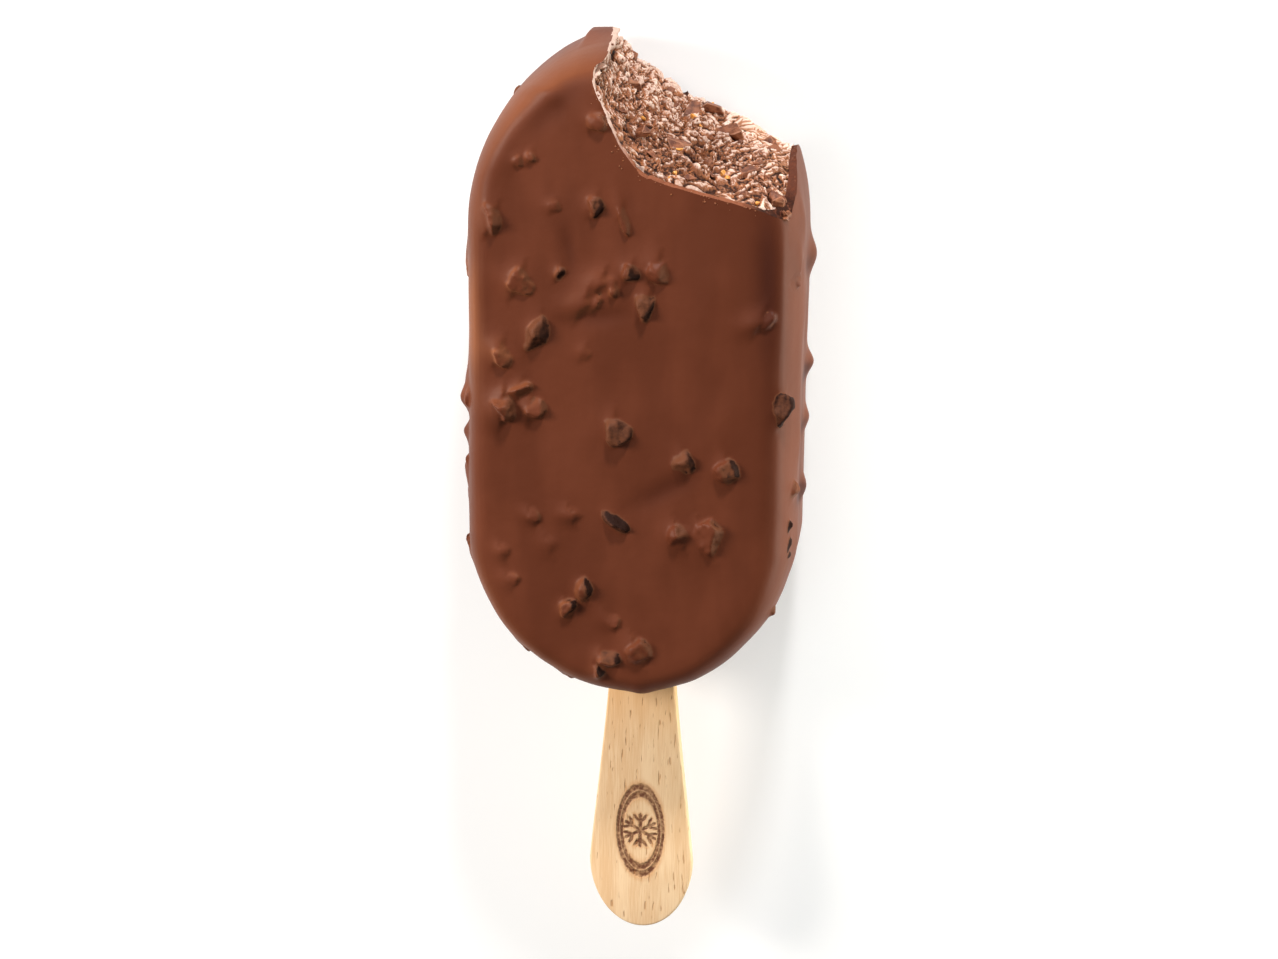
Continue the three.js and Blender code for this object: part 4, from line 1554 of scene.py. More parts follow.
@dataclass
class Coating:
    """The milk chocolate shell: soft waves, chopped pieces under it, and a broken edge round the bite."""

    skin_voxel: float = 0.5
    fused_voxel: float = 0.25
    most_triangles: int = 190000
    wave_size: Span = (9.0, 15.0)
    wave_height: float = 0.24
    ripple_height: float = 0.07
    back_waves_from: float = 8.0  # the back's own waves come in over this much of the side
    lump_depth: float = 2.5
    lee_steepness: float = 2.6
    broken_step: float = 0.3
    on_side: int = 18
    on_back: int = 24
    lengths: Span = (1.8, 4.4)
    clear_of_stick: float = 10.0
    seed: int = 11
    piece: Object | None = field(default=None, init=False)

    def lumps(self) -> list[Lump]:
        """Every chopped piece: those listed, then those scattered on the left side and the back.

        Returns:
            The lumps.
        """
        draw = random.Random(self.seed)
        scattered = []
        for i in range(self.on_side):
            angle = 2 * math.pi * (i + draw.uniform(0.2, 0.8)) / self.on_side
            x, y = 30 * math.cos(angle), 52 * math.sin(angle)
            z = BAR.middle_z + BAR.half_thickness * draw.uniform(-0.7, -0.25)
            length = draw.uniform(*self.lengths)
            size = (length, length * draw.uniform(0.5, 0.9), draw.uniform(0.6, 1.1))
            turn, cover = draw.uniform(0, 180), draw.choice(tuple(Cover))
            by_tip, by_stick = y > 0 and x > -14, y < 0 and abs(x) < self.clear_of_stick
            if x > 0 or by_tip or by_stick:
                continue
            scattered.append(Lump(x, y, *size, turn, cover, z))
        for i in range(self.on_back):
            reach = math.sqrt((i + 0.02) / self.on_back)
            x = reach * (BAR.half_width - 4.5) * math.cos(i * GOLDEN_TURN)
            y = reach * 45 * math.sin(i * GOLDEN_TURN)
            length = draw.uniform(*self.lengths)
            size = (length, length * draw.uniform(0.6, 1.0), draw.uniform(0.95, 1.45))
            turn, cover = draw.uniform(0, 180), draw.choice(tuple(Cover))
            scattered.append(Lump(x, y, *size, turn, cover, front=False))
        return [*FRONT_LUMPS, *SIDE_LUMPS, *scattered]

    def sculpt(self, skin: Object, lumps: list[Lump]) -> None:
        """Moves the skin in soft waves, and up round each chopped piece.

        Args:
            skin: The bar's skin, in small even faces.
            lumps: The chopped pieces.
        """
        points, out = Bench.points(skin), Bench.normals(skin)
        x, y, z = points.T
        grain = Grain(3)
        front = np.clip((z - BAR.middle_z) / self.back_waves_from + 0.5, 0, 1)
        across, along = x / self.wave_size[0], y / self.wave_size[1]
        slow = grain.layers(across + 40, along) * front + grain.layers(across, along) * (1 - front)
        ripples = grain.waves(x / 3.6 + 9, y / 12 + z / 7)
        lift = self.wave_height * slow + self.ripple_height * ripples
        for swell in SWELLS:
            lift += swell.height * self.bell(points, swell.lump(), *SWELL_REACH)
        left, right, facing, under = (fade(v, *ends) for v, ends in zip((x, x, out[:, 1], z), WEDGE))
        lift += (0.9 - 0.1 * (x + 8.4)) * (left * right * (facing * under))
        for lump in lumps:
            wide = 0.4 + 0.35 * lump.cover.softness
            high = 0.15 + 0.65 * lump.cover.softness
            bell = self.bell(points, lump, wide, wide, self.lump_depth, self.lee_steepness)
            lift += high * lump.height * bell
        low = fade(z, 2.5, 2)
        moved = points + out * (lift * np.where(lift < 0, low, 1))[:, None]
        squared_off = TIP_TOP + TIP_SLOPE * (moved[:, 2] - BAR.middle_z)
        moved[:, 1] = np.where(x < 0, np.minimum(moved[:, 1], squared_off), moved[:, 1])
        Bench.set_points(skin, moved)

    @staticmethod
    def bell(
        points: np.ndarray, lump: Lump, along: float, across: float, deep: float, steepness: float = 1.0
    ) -> np.ndarray:
        """A bell-shaped weight round a lump's middle.

        Args:
            points: Where the weight is wanted.
            lump: The lump.
            along: Its reach along the lump, in shares of its length.
            across: Its reach across the lump, in shares of its width.
            deep: Its reach into the skin, in millimetres.
            steepness: How many times as steep it is on the lump's lee.

        Returns:
            A weight from 0 to 1 for each point.
        """
        axes = np.array(lump.frame())[:3, :3]
        offset = points - np.array(lump.point())
        sizes = np.array([lump.length * along + 0.3, lump.width * across + 0.3, deep])
        reach = ((offset @ axes / sizes) ** 2).sum(axis=1)
        lee = np.clip(offset @ np.array(lump.lee()) / (0.3 * lump.width) + 0.4, 0, 1)
        return np.exp(-reach * (1 + (steepness**2 - 1) * lee))

    def broken_relief(self, along: np.ndarray, z: np.ndarray) -> np.ndarray:
        """How chocolate breaks: short steps and small chips, lower at the back and proud at the right.

        Args:
            along: Millimetres along the bite.
            z: Heights.

        Returns:
            How far out the broken edge stands.
        """
        bends, chips, dust = Grain(5), Grain(6), Grain(7)
        _, crack, own = chips.cells(along / 2.2, z / 1.7)
        steps = 0.35 * (own - 0.5) + 0.1 * np.minimum(crack, 0.3)
        back = -1.3 * fade(z, 7, -3) * fade(along, 43, -3)
        wall = (0.5 - 1.4 * fade(z, 10, -4)) * fade(along, 43, 2)
        corner = np.exp(-(((along - 43) / 1.5) ** 2) - ((z - 25.2) / 1.5) ** 2)
        notch = corner * (0.7 * dust.layers(along / 0.7, z / 0.7) - 0.5)
        fine = 0.2 * bends.waves(along / 4, z / 5) + 0.1 * dust.layers(along / 0.9, z / 0.9)
        tip = 1.1 * hump(along, 8.3, 0.9)
        return steps + back + wall + notch + tip + fine

    def build(self, slot: Object) -> Object:
        """Models the shell.

        Args:
            slot: The stick's form, a little larger, which is cut out of the shell.

        Returns:
            The shell.
        """
        lumps = self.lumps()
        skin = BAR.build("chocolate_shell")
        Bench.fuse(skin, self.skin_voxel)
        self.sculpt(skin, lumps)
        chopped = ChoppedPieces(self.seed)
        nibs = Bench.copies("nibs", chopped.shapes, [chopped.place(lump) for lump in lumps])
        chopped.clear()
        nib_tree = BVHTree.FromObject(nibs, bpy.context.evaluated_depsgraph_get())
        skin = Bench.join("chocolate_shell", [skin, nibs])
        Bench.fuse(skin, self.fused_voxel)
        Bench.modify(skin, "SMOOTH", factor=0.5, iterations=2)
        self.press_flat(skin)
        Bench.cut(skin, BAR.build("hollow", COAT_ON_SIDE, COAT_ON_FACE))
        Bench.cut(skin, slot, keep_tool=True)
        cutter = BITE.cutter("bite", (3.0, 66.0), (-3.0, 32.0), self.broken_step, self.broken_relief)
        bite_tree = BVHTree.FromObject(cutter, bpy.context.evaluated_depsgraph_get())
        Bench.cut(skin, cutter)
        Bench.thin_out(skin, self.most_triangles)
        self.paint(skin, lumps, nib_tree, bite_tree)
        Bench.smooth_shading(skin, 50)
        self.piece = skin
        return skin

    @staticmethod
    def press_flat(skin: Object) -> None:
        """Presses everything below the table up to it.

        Args:
            skin: The shell.
        """
        points = Bench.points(skin)
        points[:, 2] = np.maximum(points[:, 2], 0.0)
        Bench.set_points(skin, points)

    def paint(self, skin: Object, lumps: list[Lump], nib_tree: BVHTree, bite_tree: BVHTree) -> None:
        """Marks where a piece's top shows through and where the chocolate is broken, and paints shade on the
        pieces' lee sides, in creases and in dips, warm light on the left shoulder and a sheen on the right
        side.

        Args:
            skin: The finished shell.
            lumps: The chopped pieces.
            nib_tree: Their own surfaces.
            bite_tree: The surface that it was bitten off along.
        """
        points, out = Bench.points(skin), Bench.normals(skin)
        near = np.clip(1.3 - Bench.distance_to(skin, nib_tree, 1.0) / 0.25, 0, 1)
        # Painted shade in the creases round each piece and on its lee side, added to where its top shows
        # through.
        crevice = np.clip(Bench.hollows(skin, 2) / 1.6 - 0.2, 0, 1)
        bare_and_shade = np.zeros(len(points))
        for lump in lumps:
            offset = points - np.array(lump.point())
            here = np.linalg.norm(offset, axis=1) < 0.75 * lump.length + 0.5
            lee = np.array(lump.lee())
            bare_top_and_shaded_lee = lump.cover.bareness + lump.cover.darkness * np.clip(0.1 + 1.2 * (out @ lee), 0, 1)
            toward_lee = np.clip(0.5 + offset @ lee / lump.width, 0, 1)
            bare_and_shade = np.where(here, np.maximum(bare_and_shade, near * bare_top_and_shaded_lee + crevice * toward_lee), bare_and_shade)
        Bench.paint(skin, "bare_and_shade", np.clip(bare_and_shade, 0, 1))
        # Painted shade in each dip.
        painted_trough_shade = np.zeros(len(points))
        for swell in SWELLS:
            if swell.height < 0:
                painted_trough_shade += swell.darkness * self.bell(points, swell.lump(), *SWELL_REACH)
        Bench.paint(skin, "painted_trough_shade", np.clip(painted_trough_shade, 0, 1))
        # Painted warm light on the left shoulder, where it faces sideways.
        on_left = fade(points[:, 0], 4, -12) * np.interp(points[:, 1], *SHOULDER_LIGHT_ALONG)
        on_shoulder = fade(out[:, 2], 0.99, -0.3) * fade(points[:, 2], 12, 8)
        Bench.paint(skin, "painted_shoulder_light", on_left * on_shoulder)
        # A painted sheen on the right side, where it faces sideways.
        Bench.paint(skin, "painted_side_sheen", fade(points[:, 0], 15, 5) * fade(out[:, 2], 0.7, -0.4))
        middles = Bench.rows(skin.data.polygons, "center")
        gaps = [bite_tree.find_nearest(Vector(middle), 0.1 * MM)[3] for middle in middles]
        broken = [gap is not None and gap < 0.03 * MM for gap in gaps]
        Bench.paint(skin, "broken", np.array(broken, float), "FACE")

    def dress(self) -> None:
        """Gives the shell its chocolate, and lets it stand for the coating."""
        Bench.finish(self.piece, MilkChocolate().material(), "chocolate_coating", "milk_chocolate")


# ---- The ice cream -------------------------------------------------------------------------------------


@dataclass(frozen=True)
class Dent:
    """A round hollow in the torn surface, or a mound where its depth is below 0."""

    along: float
    z: float
    radius: float
    depth: float


DENTS = tuple(Dent(*row) for row in (
    (42.9, 23.2, 0.8, 2.2), (15.4, 22.6, 0.8, 1.4), (22.9, 24.3, 0.8, 1.3), (19.8, 21.5, 0.9, 1.2),
    (20.7, 22.3, 0.8, 1.0), (24.6, 25.4, 1.0, 0.9), (33.2, 19.4, 0.8, 1.3), (27.1, 7.8, 0.8, 1.2),
    (32.6, 25.3, 1.2, 0.8), (35.8, 9.4, 0.6, 1.0), (18.3, 12.5, 1.3, 0.7), (25.5, 11.0, 1.5, 0.5),
    (41.5, 4.5, 0.8, 0.9), (29.3, 17.6, 0.9, 0.8), (14.3, 5.8, 1.2, 0.6), (35.0, 22.8, 0.9, 0.7),
    (13.4, 8.5, 1.6, -0.7), (21.5, 7.0, 2.0, -0.6), (30.8, 3.4, 1.8, -0.4), (37.2, 3.8, 2.2, -0.3),
    (33.5, 13.5, 2.2, -0.6), (39.5, 12.0, 2.0, -0.4), (30.5, 21.0, 1.5, -0.5), (24.0, 16.0, 1.6, -0.4),
))  # fmt: skip


# The torn surface's round crumbs: how far apart, how high, and the share of places that hold one.
CRUMB_SIZES = ((1.5, 0.5, 0.2), (0.9, 0.36, 0.3), (0.5, 0.22, 0.4))
# How wide its broken faces are, and how high they stand.
FACET_SIZES = ((1.15, 0.4), (0.66, 0.3), (0.4, 0.19))


@dataclass
class IceCreamCore:
    """The ice cream: the bar's form inside its shell, with a torn and crumbly bitten surface."""

    step: float = 0.1
    span: Span = (6.0, 62.0)
    rise: Span = (1.5, 26.5)
    corner_along: float = 44.8
    piece: Object | None = field(default=None, init=False)

    def relief(self, along: np.ndarray, z: np.ndarray) -> np.ndarray:
        """The torn surface: its broad forms, and its crumbs on them.

        Args:
            along: Places along the bite.
            z: Places up it.

        Returns:
            The height above the smooth bite, in millimetres, or the depth below it where under 0.
        """
        slow = Grain(21).layers(along / 6, z / 5)
        broad = 0.45 * slow - 0.3
        for dent in DENTS:
            reach = ((along - dent.along) ** 2 + (z - dent.z) ** 2) / dent.radius**2
            broad = broad - dent.depth * np.exp(-reach)
        by_corner, by_back = fade(along, self.corner_along - 3.2, 2.4), fade(z, 6, -3)
        by_front = fade(z, 23.5, 1.2) * fade(along, 20, 5)
        broad = broad - 0.5 * by_corner + 0.5 * by_back + 0.5 * by_front
        broad = broad + 0.9 * hump(along, 9, 2.2) * fade(z, 6, 6)
        u = along + 0.7 * Grain(31).layers(along / 1.5, z / 1.5)
        v = z + 0.7 * Grain(32).layers(along / 1.5, z / 1.5)
        dragged = fade(along, 31, 6) * np.clip(0.7 + Grain(26).waves(along / 4.5, z / 3.5), 0, 1)
        run, cross = (u - 1.1 * v) / 1.487, (1.1 * u + v) / 1.487
        smear = 0.4 * Grain(22).billows(run / 3.2, cross / 1.0, 2)
        clump = 0.5 * Grain(23).billows(u / 2.6, v / 2.4, 2)
        rough = np.clip(0.6 + 0.8 * Grain(33).layers(along / 4.5, z / 4), 0.2, 1)
        loose = self.heap(u, v)
        for seed, (size, height) in enumerate(FACET_SIZES, 40):
            loose = loose + height * Grain(seed).facets(u / size, v / size)
        smooth = np.exp(-(((along - 36) / 2.4) ** 2) - ((z - 4.5) / 2) ** 2)
        grit = rough * (1 - 0.5 * dragged) * (1 - smooth) * (loose - 0.3)
        return broad + (clump + dragged * (smear - clump) + grit)

    @staticmethod
    def heap(x: np.ndarray, y: np.ndarray) -> np.ndarray:
        """Round crumbs of several sizes lying over each other.

        Args:
            x: Places across.
            y: Places up.

        Returns:
            The height at each place, in millimetres.
        """
        found = np.zeros_like(x)
        for seed, (size, height, share) in enumerate(CRUMB_SIZES, 24):
            middle, _, own = Grain(seed).cells(x / size, y / size)
            radius = 0.4 + 0.35 * own / share
            dome = height * (0.6 + 0.4 * own / share) * np.sqrt(np.clip(1 - (middle / radius) ** 2, 0, 1))
            found = np.maximum(found, np.where(own < share, dome, 0))
        return found

    def build(self, slot: Object) -> Object:
        """Models the ice cream.

        Args:
            slot: The stick's form, a little larger, which is cut out of the ice cream.

        Returns:
            The ice cream.
        """
        core = BAR.build("bitten_ice_cream", COAT_ON_SIDE + CREAM_GAP, COAT_ON_FACE + CREAM_GAP)
        Bench.cut(core, slot, keep_tool=True)
        cutter = BITE.cutter("torn_bite", self.span, self.rise, self.step, self.relief)
        Bench.cut(core, cutter)
        # The torn surface's curvature, which sets the painted shade in its hollows and the painted highlight
        # on its crests.
        tight, wide = Bench.hollows(core, 2), Bench.hollows(core, 40)
        torn = np.abs(tight) > 1e-3
        usual_tight, usual_wide = np.median(np.abs(tight[torn])), np.median(np.abs(wide[torn]))
        x, y, z = Bench.points(core).T
        # Painted light towards the back and by the tip: the number is lowered there, so the crests' painted
        # highlight spreads and the hollows' painted shade fades.
        by_tip = fade(x, 8, -5) * fade(y, 38.5, 4)
        paler = 0.9 * fade(z, 15, -8) + 0.2 * by_tip * fade(z, 24, -6)
        Bench.paint(core, "hollow", 0.6 * tight / usual_tight + 0.4 * wide / usual_wide - paler)
        Bench.smooth_shading(core, 60)
        self.piece = core
        return core

    def dress(self) -> None:
        """Gives the ice cream its finish, and lets it stand for the filling."""
        Bench.finish(self.piece, IceCream().material(), "ice_cream", "chocolate_ice_cream")


@dataclass(frozen=True)
class Bit:
    """A piece that shows in the bite: millimetres along it, its height, and its size."""

    along: float
    z: float
    length: float
    width: float
    thickness: float
    turn: float = 0.0
    tilt: float = 0.0
    lift: float = 0.3


FLAKES = tuple(Bit(*row) for row in (
    (16.8, 10.6, 3.2, 2.0, 1.2, 35, 30), (14.5, 2.6, 1.8, 1.3, 1.1, 0, 40),
    (14.2, 4.4, 1.2, 1.0, 0.8, 40, 20), (23.8, 3.9, 1.9, 1.6, 1.3, 60, 40),
    (27.6, 6.0, 2.5, 2.3, 1.5, -10, 20), (31.2, 3.7, 3.2, 1.9, 1.4, 10, 30),
    (27.8, 15.8, 3.9, 2.6, 1.3, 40, 25), (21.0, 19.0, 2.0, 1.9, 1.3, 10, 30),
    (34.9, 8.6, 2.7, 2.6, 1.6, -35, 35), (37.6, 18.0, 2.5, 2.3, 1.4, 50, 30),
    (32.0, 18.0, 1.6, 1.2, 0.9, 15, 20), (41.2, 22.6, 2.3, 2.1, 1.4, 65, 35),
    (40.6, 5.2, 2.2, 1.8, 1.2, 20, 30), (41.6, 9.8, 2.0, 1.5, 1.1, 60, 30),
    (38.9, 15.5, 1.6, 1.2, 0.9, 0, 30), (22.1, 11.1, 1.3, 1.1, 0.8, 60, 20),
    (24.4, 20.9, 1.6, 1.0, 0.8, 0, 30), (29.8, 24.4, 1.4, 1.0, 0.8, 20, 20),
    (36.5, 23.6, 1.6, 1.0, 0.8, 70, 20), (17.8, 18.6, 1.4, 1.0, 0.7, 20, 20),
    (41.4, 23.9, 1.9, 1.4, 1.2, 10, 30, 0.7), (42.4, 24.9, 1.3, 0.9, 0.8, 30, 30, 0.6),
    (42.9, 24.3, 0.9, 0.7, 0.7, -20, 30, 1.0), (42.1, 25.6, 1.0, 0.7, 0.6, 70, 30, 0.3),
))  # fmt: skip

NUT_BITS = tuple(Bit(*row) for row in (
    (28.3, 7.5, 1.2, 0.8, 0.8, -50, 20), (21.2, 15.2, 0.9, 0.7, 0.6, 40, 30),
    (22.1, 18.7, 1.2, 0.6, 0.6, 80, 30), (28.0, 23.1, 0.9, 0.7, 0.6, 20, 10),
    (27.3, 24.9, 0.9, 0.5, 0.5, 60, 30), (33.9, 19.5, 1.3, 0.9, 0.8, -40, 20),
    (30.6, 2.2, 0.8, 0.6, 0.5, 30, 20), (37.9, 25.2, 0.8, 0.5, 0.5, 80, 20),
    (29.8, 8.6, 0.7, 0.5, 0.5, 10, 20), (27.6, 18.0, 1.0, 0.5, 0.5, 30, 20),
    (34.6, 20.9, 0.8, 0.6, 0.4, 10, 20),
))  # fmt: skip


@dataclass
class BiteBits:
    """The loose pieces in the bite: chocolate flakes, nut bits, and crumbs of ice cream."""

    core: IceCreamCore
    shell: Object
    crumb_count: int = 1500
    chip_count: int = 80
    speck_count: int = 40
    worn: float = 0.17
    margin: float = 2.6  # scattered bits keep this far from the bite's front and back
    start: float = 9.5
    seed: int = 31
    pieces: list[Object] = field(default_factory=list, init=False)

    def shard(self, name: str, draw: random.Random, planes: int, reach: Span) -> Object:
        """A small block with its corners broken off, 2 mm across.

        Args:
            name: The shape's name.
            draw: Where its random numbers come from.
            planes: How many breaks it has.
            reach: How far from its middle a break may lie.

        Returns:
            The shape.
        """
        shape = Bench.primitive(bpy.ops.mesh.primitive_cube_add, name, size=2 * MM)
        with Bench.editing(shape):
            bpy.ops.mesh.subdivide(number_cuts=1)
            for _ in range(planes):
                out = self.any_way(draw).normalized()
                bpy.ops.mesh.select_all(action="SELECT")
                at = out * draw.uniform(*reach) * MM
                bpy.ops.mesh.bisect(plane_co=at, plane_no=out, use_fill=True, clear_outer=True)
        return shape

    def crumb_shape(self, name: str, draw: random.Random) -> Object:
        """An uneven little ball of few faces, 2 mm across.

        Args:
            name: The shape's name.
            draw: Where its random numbers come from.

        Returns:
            The shape.
        """
        shape = Bench.primitive(bpy.ops.mesh.primitive_ico_sphere_add, name, subdivisions=1, radius=MM)
        points = Bench.points(shape)
        uneven = np.array([draw.uniform(0.7, 1.15) for _ in points])
        Bench.set_points(shape, points * uneven[:, None])
        return shape

    def seat(self, along: float, z: float, sink: float) -> tuple[Vector, Matrix]:
        """A place on the torn surface, and the turn that lays a thing flat on it.

        Args:
            along: Millimetres along the bite.
            z: The height.
            sink: How far it is sunk in.

        Returns:
            The point and the turn.
        """
        a, h = np.array([along]), np.array([z])
        point = Vector(BITE.rough_surface(a, h, self.core.relief)[0])
        out = Vector(BITE.outward(BITE.share_at(a), h)[0])
        return point - out * sink, lying(out.cross(Vector((0, 0, 1))).normalized(), out)

    def lay(self, bits: tuple[Bit, ...], kinds: int, draw: random.Random) -> Seats:
        """The places of bits that are set by hand.

        Args:
            bits: The bits.
            kinds: How many shapes there are.
            draw: Where the random numbers come from.

        Returns:
            The places.
        """
        places = []
        for bit in bits:
            point, basis = self.seat(bit.along, bit.z, bit.thickness * 0.2 - bit.lift)
            turn = turned(bit.turn, "Z") @ turned(bit.tilt, "X")
            size = Matrix.Diagonal((bit.length / 1.7, bit.width / 1.7, bit.thickness / 1.5, 1))
            own_turn = Matrix.Rotation(draw.uniform(0, math.tau), 4, self.any_way(draw))
            place = Matrix.Translation(point) @ basis @ turn @ size @ own_turn
            places.append((draw.randrange(kinds), place))
        return places

    @staticmethod
    def any_way(draw: random.Random) -> Vector:
        """A direction drawn at random."""
        return Vector([draw.gauss(0, 1) for _ in range(3)])

    def scatter(self, count: int, sizes: Span, kinds: int, draw: random.Random) -> Seats:
        """Places over the whole torn surface, small ones most often.

        Args:
            count: How many are tried.
            sizes: The smallest and the largest.
            kinds: How many shapes there are.
            draw: Where the random numbers come from.

        Returns:
            The places.
        """
        places = []
        low, high = self.core.rise[0] + self.margin, self.core.rise[1] - self.margin
        for _ in range(count):
            along = draw.uniform(self.start, self.core.corner_along)
            z = draw.uniform(low, high)
            size = sizes[0] + (sizes[1] - sizes[0]) * draw.random() ** 2.4
            point, basis = self.seat(along, z, size * 0.1)
            wall = BAR.inset_at_height((z - BAR.middle_z) / BAR.half_thickness) + COAT_ON_SIDE
            if BAR.inset_at(point.x, point.y) < wall + size:
                continue
            turn = Matrix.Rotation(draw.uniform(0, math.tau), 4, "Z")
            tilt = Matrix.Rotation(draw.uniform(-0.7, 0.7), 4, "X")
            sides = [draw.uniform(*span) for span in ((0.8, 1.7), (0.7, 1.1), (0.5, 0.9))]
            stretch = Matrix.Diagonal((*sides, 1))
            lie = Matrix.Translation(point) @ basis @ (turn @ tilt)
            places.append((draw.randrange(kinds), lie @ stretch @ Matrix.Scale(size / 2, 4)))
        return places

    def dust(self, kinds: int, draw: random.Random) -> Seats:
        """Places of tiny crumbs that fell on the front of the shell, close to its broken edge.

        Args:
            kinds: How many shapes there are.
            draw: Where the random numbers come from.

        Returns:
            The places.
        """
        places = []
        for _ in range(self.speck_count):
            share = np.array([draw.uniform(0.22, 0.78)])
            edge = Vector(BITE.surface(share, np.array([BITE.front_z]))[0])
            away = Vector(BITE.outward(share, np.array([BITE.front_z]))[0])
            above = edge - away * (0.3 + 1.5 * draw.random() ** 2.5)
            above.z = BAR.middle_z + 2 * BAR.half_thickness
            hit, spot = self.shell.ray_cast(above * MM, Vector((0, 0, -1)))[:2]
            if hit:
                size = Matrix.Scale(draw.uniform(0.06, 0.17), 4)
                places.append((draw.randrange(kinds), Matrix.Translation(spot / MM) @ size))
        return places

    def build(self) -> list[Object]:
        """Models the bits.

        Returns:
            The flakes, the nut bits and the crumbs.
        """
        draw = random.Random(self.seed)
        shards = [self.shard(f"shard_{i}", draw, 6, (0.3, 0.8)) for i in range(8)]
        crumbs = [self.crumb_shape(f"crumb_{i}", draw) for i in range(6)]
        for shard in shards:
            Bench.wear(shard, 0.11)
        flake_places = self.lay(FLAKES, len(shards), draw)
        flake_places += self.scatter(self.chip_count, (0.4, 1.2), len(shards), draw)
        flakes = Bench.copies("chocolate_flakes", shards, flake_places, self.worn)
        nuts = Bench.copies("nut_bits", shards, self.lay(NUT_BITS, len(shards), draw), self.worn)
        crumb_places = self.scatter(self.crumb_count, (0.2, 0.6), len(crumbs), draw)
        crumb_places += self.dust(len(crumbs), draw)
        loose = Bench.copies("ice_cream_crumbs", crumbs, crumb_places)
        for shape in [*shards, *crumbs]:
            Bench.remove(shape)
        self.pieces = [flakes, nuts, loose]
        return self.pieces

    def dress(self) -> None:
        """Gives each kind its finish."""
        flakes, nuts, crumbs = self.pieces
        chocolate = Speck("flake_chocolate", srgb(88, 45, 28), srgb(140, 84, 56), srgb(190, 134, 102))
        nut = Speck("roasted_nut", srgb(196, 118, 46), srgb(238, 168, 84), srgb(255, 214, 150))
        crumb = IceCream().material("ice_cream_crumb")
        Bench.smooth_shading(flakes, 30)
        Bench.finish(flakes, chocolate.material(), None, "milk_chocolate")
        Bench.smooth_shading(nuts, 30)
        Bench.finish(nuts, nut.material(), None, "chocolate_ice_cream")
        Bench.paint(crumbs, "hollow", -0.3 * np.ones(len(crumbs.data.vertices)))
        Bench.smooth_shading(crumbs)
        Bench.finish(crumbs, crumb, None, "chocolate_ice_cream")


# ---- The stick -----------------------------------------------------------------------------------------


@dataclass
class Stick:
    """The flat wooden stick, wider towards its held end, with both ends round."""

    half_neck: float = 4.8
    neck_y: float = -46.0
    paddle_y: float = -80.5
    bend: tuple[Span, ...] = ((5.1, -55.5), (7.2, -71.5))
    end_points: int = 28
    edge: float = 0.35
    piece: Object | None = field(default=None, init=False)

    def __post_init__(self) -> None:
        """Reads the stick's length, width and thickness from the frame."""
        low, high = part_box("stick")
        self.low, self.high = low / MM, high / MM
        self.centre_x = (self.low.x + self.high.x) / 2
        self.half_paddle = (self.high.x - self.low.x) / 2

    def outline(self) -> list[Span]:
        """The right half's outline from the inner end to the held end, without the middle line's points.

        Returns:
            The points.
        """
        inner_centre = self.high.y - self.half_neck
        points = []
        for i in range(1, self.end_points + 1):
            angle = math.pi / 2 * (1 - i / self.end_points)
            x, rise = self.half_neck * math.cos(angle), self.half_neck * math.sin(angle)
            points.append((x, inner_centre + rise))
        ends = [(self.half_neck, self.neck_y), *self.bend, (self.half_paddle, self.paddle_y)]
        for i in range(self.end_points + 1):
            t = i / self.end_points
            weights = ((1 - t) ** 3, 3 * t * (1 - t) ** 2, 3 * t * t * (1 - t), t**3)
            points.append(tuple(sum(w * p[k] for w, p in zip(weights, ends)) for k in (0, 1)))
        reach = self.paddle_y - self.low.y
        for i in range(1, self.end_points):
            angle = math.pi / 2 * i / self.end_points
            points.append((self.half_paddle * math.cos(angle), self.paddle_y - reach * math.sin(angle)))
        return points

    def build(self, name: str, grow: float = 0.0) -> Object:
        """Models the stick: a round blank, shaped to its outline, thickened and its edges rounded.

        Args:
            name: The new piece's name.
            grow: How much larger it is made all round.

        Returns:
            The stick.
        """
        right = self.outline()
        loop = [(0.0, self.high.y), *right, (0.0, self.low.y), *[(-x, y) for x, y in reversed(right)]]
        settings = {"vertices": len(loop), "radius": MM, "fill_type": "NGON"}
        stick = Bench.primitive(bpy.ops.mesh.primitive_circle_add, name, **settings)
        shaped = np.array([(x + self.centre_x, y, self.low.z) for x, y in loop])
        Bench.set_points(stick, shaped)
        with Bench.editing(stick):
            bpy.ops.mesh.select_mode(type="FACE")
            bpy.ops.mesh.normals_make_consistent(inside=False)
            if grow:
                bpy.ops.mesh.inset(thickness=grow * MM, use_outset=True)
                bpy.ops.mesh.select_all(action="SELECT")
                bpy.ops.mesh.dissolve_faces()
                bpy.ops.transform.translate(value=(0, 0, -grow * MM))
            thick = (self.high.z - self.low.z + 2 * grow) * MM
            bpy.ops.mesh.extrude_region_move(TRANSFORM_OT_translate={"value": (0, 0, thick)})
            Bench.face_outward()
        self.piece = stick
        return stick

    def finish(self) -> None:
        """Rounds the stick's edges."""
        Bench.wear(self.piece, self.edge, 3, 1.0)
        Bench.smooth_shading(self.piece, 40)

    def dress(self) -> None:
        """Gives the stick its wood, and lets it stand for the plain one."""
        Bench.finish(self.piece, BeechWood().material(), "stick", "beech_wood")


# ---- The studio ----------------------------------------------------------------------------------------


@dataclass(frozen=True)
class SoftLight:
    """A soft box: its place and target in metres, its width and height, and its power in watts."""

    name: str
    place: Place
    size: Span
    power: float
    target: Place = (0.0, 0.0, 0.01)
    tint: tuple[float, float, float] = (1.0, 1.0, 1.0)

    def build(self) -> None:
        """Adds the light, turned to its target."""
        data = bpy.data.lights.new(self.name, "AREA")
        data.shape = "RECTANGLE"
        data.size, data.size_y = self.size
        data.energy = self.power
        data.color = self.tint
        lamp = Bench.linked(self.name, data)
        lamp.location = self.place
        lamp.rotation_euler = (Vector(self.target) - Vector(self.place)).to_track_quat("-Z", "Y").to_euler()


WARM = (0.96, 1.0, 0.88)


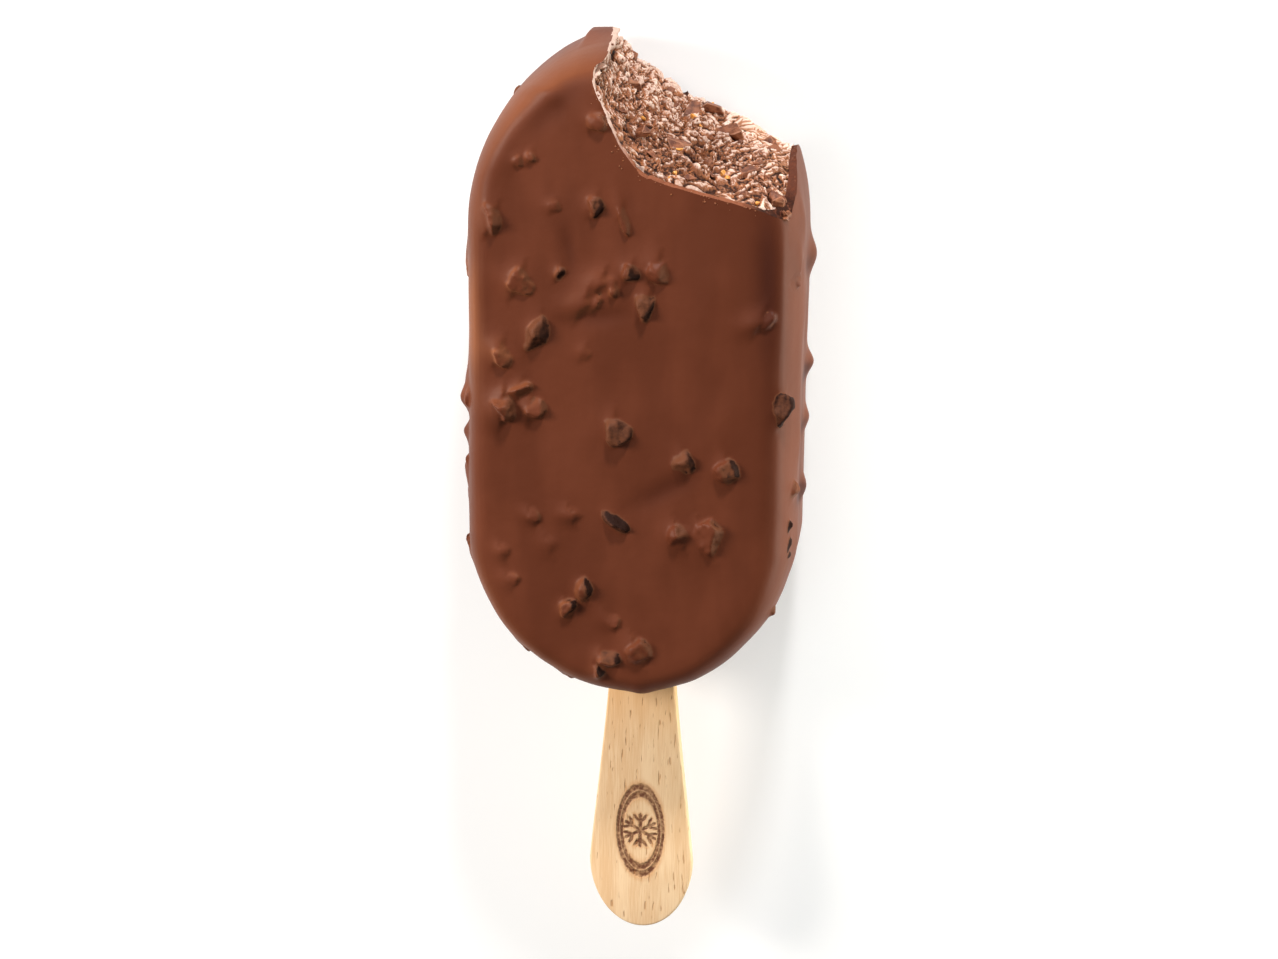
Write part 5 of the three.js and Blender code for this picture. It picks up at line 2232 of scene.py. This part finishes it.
@dataclass
class Studio:
    """A plain white table, soft lights and the camera."""

    azimuth: float = 10.5
    elevation: float = 19.0
    roll: float = 0.4
    distance: float = 750.0
    target: Place = (-0.313, -18.911, 13.9)
    lens: float = 140.8
    sky: float = 0.2
    lights: tuple[SoftLight, ...] = (
        SoftLight("high_key", (-0.2, 0.1, 0.97), (0.4, 0.4), 1.2),
        SoftLight("left_key", (-0.49, 0.15, 0.32), (0.18, 0.18), 4.2, tint=(1.0, 0.93, 0.85)),
        SoftLight("top_key", (0.14, 0.9, 0.4), (0.1, 0.1), 9.5),
        SoftLight("right_strip", (0.105, -0.01, 0.019), (0.16, 0.034), 0.15, (0.0, -0.01, 0.011), WARM),
    )

    def table(self) -> None:
        """A pale floor that isn't part of the object."""
        floor = Bench.primitive(bpy.ops.mesh.primitive_plane_add, "table", size=4.0, location=(0, 0, 0))
        recipe = Recipe("white_table")
        white, grey = (1.0, 1.0, 1.0, 1.0), (0.55, 0.55, 0.55, 1.0)
        paper = recipe.finish(Base_Color=grey, Roughness=0.9, Emission_Color=white, Emission_Strength=0.45)
        floor.data.materials.append(paper)

    def camera(self) -> None:
        """The camera, turned about its own axis by the roll."""
        turn, rise = math.radians(self.azimuth), math.radians(self.elevation)
        back = Vector((math.sin(turn) * math.cos(rise), math.sin(rise), math.cos(turn) * math.cos(rise)))
        right = Vector((0, 1, 0)).cross(back).normalized()
        up = back.cross(right)
        c, s = math.cos(math.radians(self.roll)), math.sin(math.radians(self.roll))
        axes = Matrix((right * c + up * s, up * c - right * s, back)).transposed()
        data = bpy.data.cameras.new("camera")
        data.lens = self.lens
        data.sensor_width = 36.0
        data.clip_start, data.clip_end = 0.01, 20.0
        camera = Bench.linked("camera", data)
        camera.location = (Vector(self.target) + back * self.distance) * MM
        camera.rotation_euler = axes.to_euler()
        bpy.context.scene.camera = camera

    def build(self) -> None:
        """Sets up the table, the sky, the lights and the camera."""
        self.table()
        world = bpy.data.worlds.new("sky")
        world.use_nodes = True
        world.node_tree.nodes["Background"].inputs[0].default_value = (1.0, 1.0, 1.0, 1.0)
        world.node_tree.nodes["Background"].inputs[1].default_value = self.sky
        bpy.context.scene.world = world
        for light in self.lights:
            light.build()
        self.camera()
        bpy.context.scene.view_settings.view_transform = "Standard"


# ---- Assembly ------------------------------------------------------------------------------------------


def report(piece: Object) -> None:
    """Logs a piece's size in triangles."""
    piece.data.calc_loop_triangles()
    LOG.info("%s: %d triangles", piece.name, len(piece.data.loop_triangles))


def main() -> None:
    """Builds the studio, the stick, the coating, the ice cream and what shows in the bite."""
    logging.basicConfig(level=logging.INFO, format="%(message)s")
    Studio().build()
    stick = Stick()
    slot = stick.build("slot", grow=SLOT_GAP)
    coating = Coating()
    report(coating.build(slot))
    coating.dress()
    core = IceCreamCore()
    report(core.build(slot))
    core.dress()
    Bench.remove(slot)
    bits = BiteBits(core, coating.piece)
    for piece in bits.build():
        report(piece)
    bits.dress()
    stick.build("wooden_stick")
    stick.finish()
    stick.dress()
    report(stick.piece)


if __name__ == "__main__":
    main()
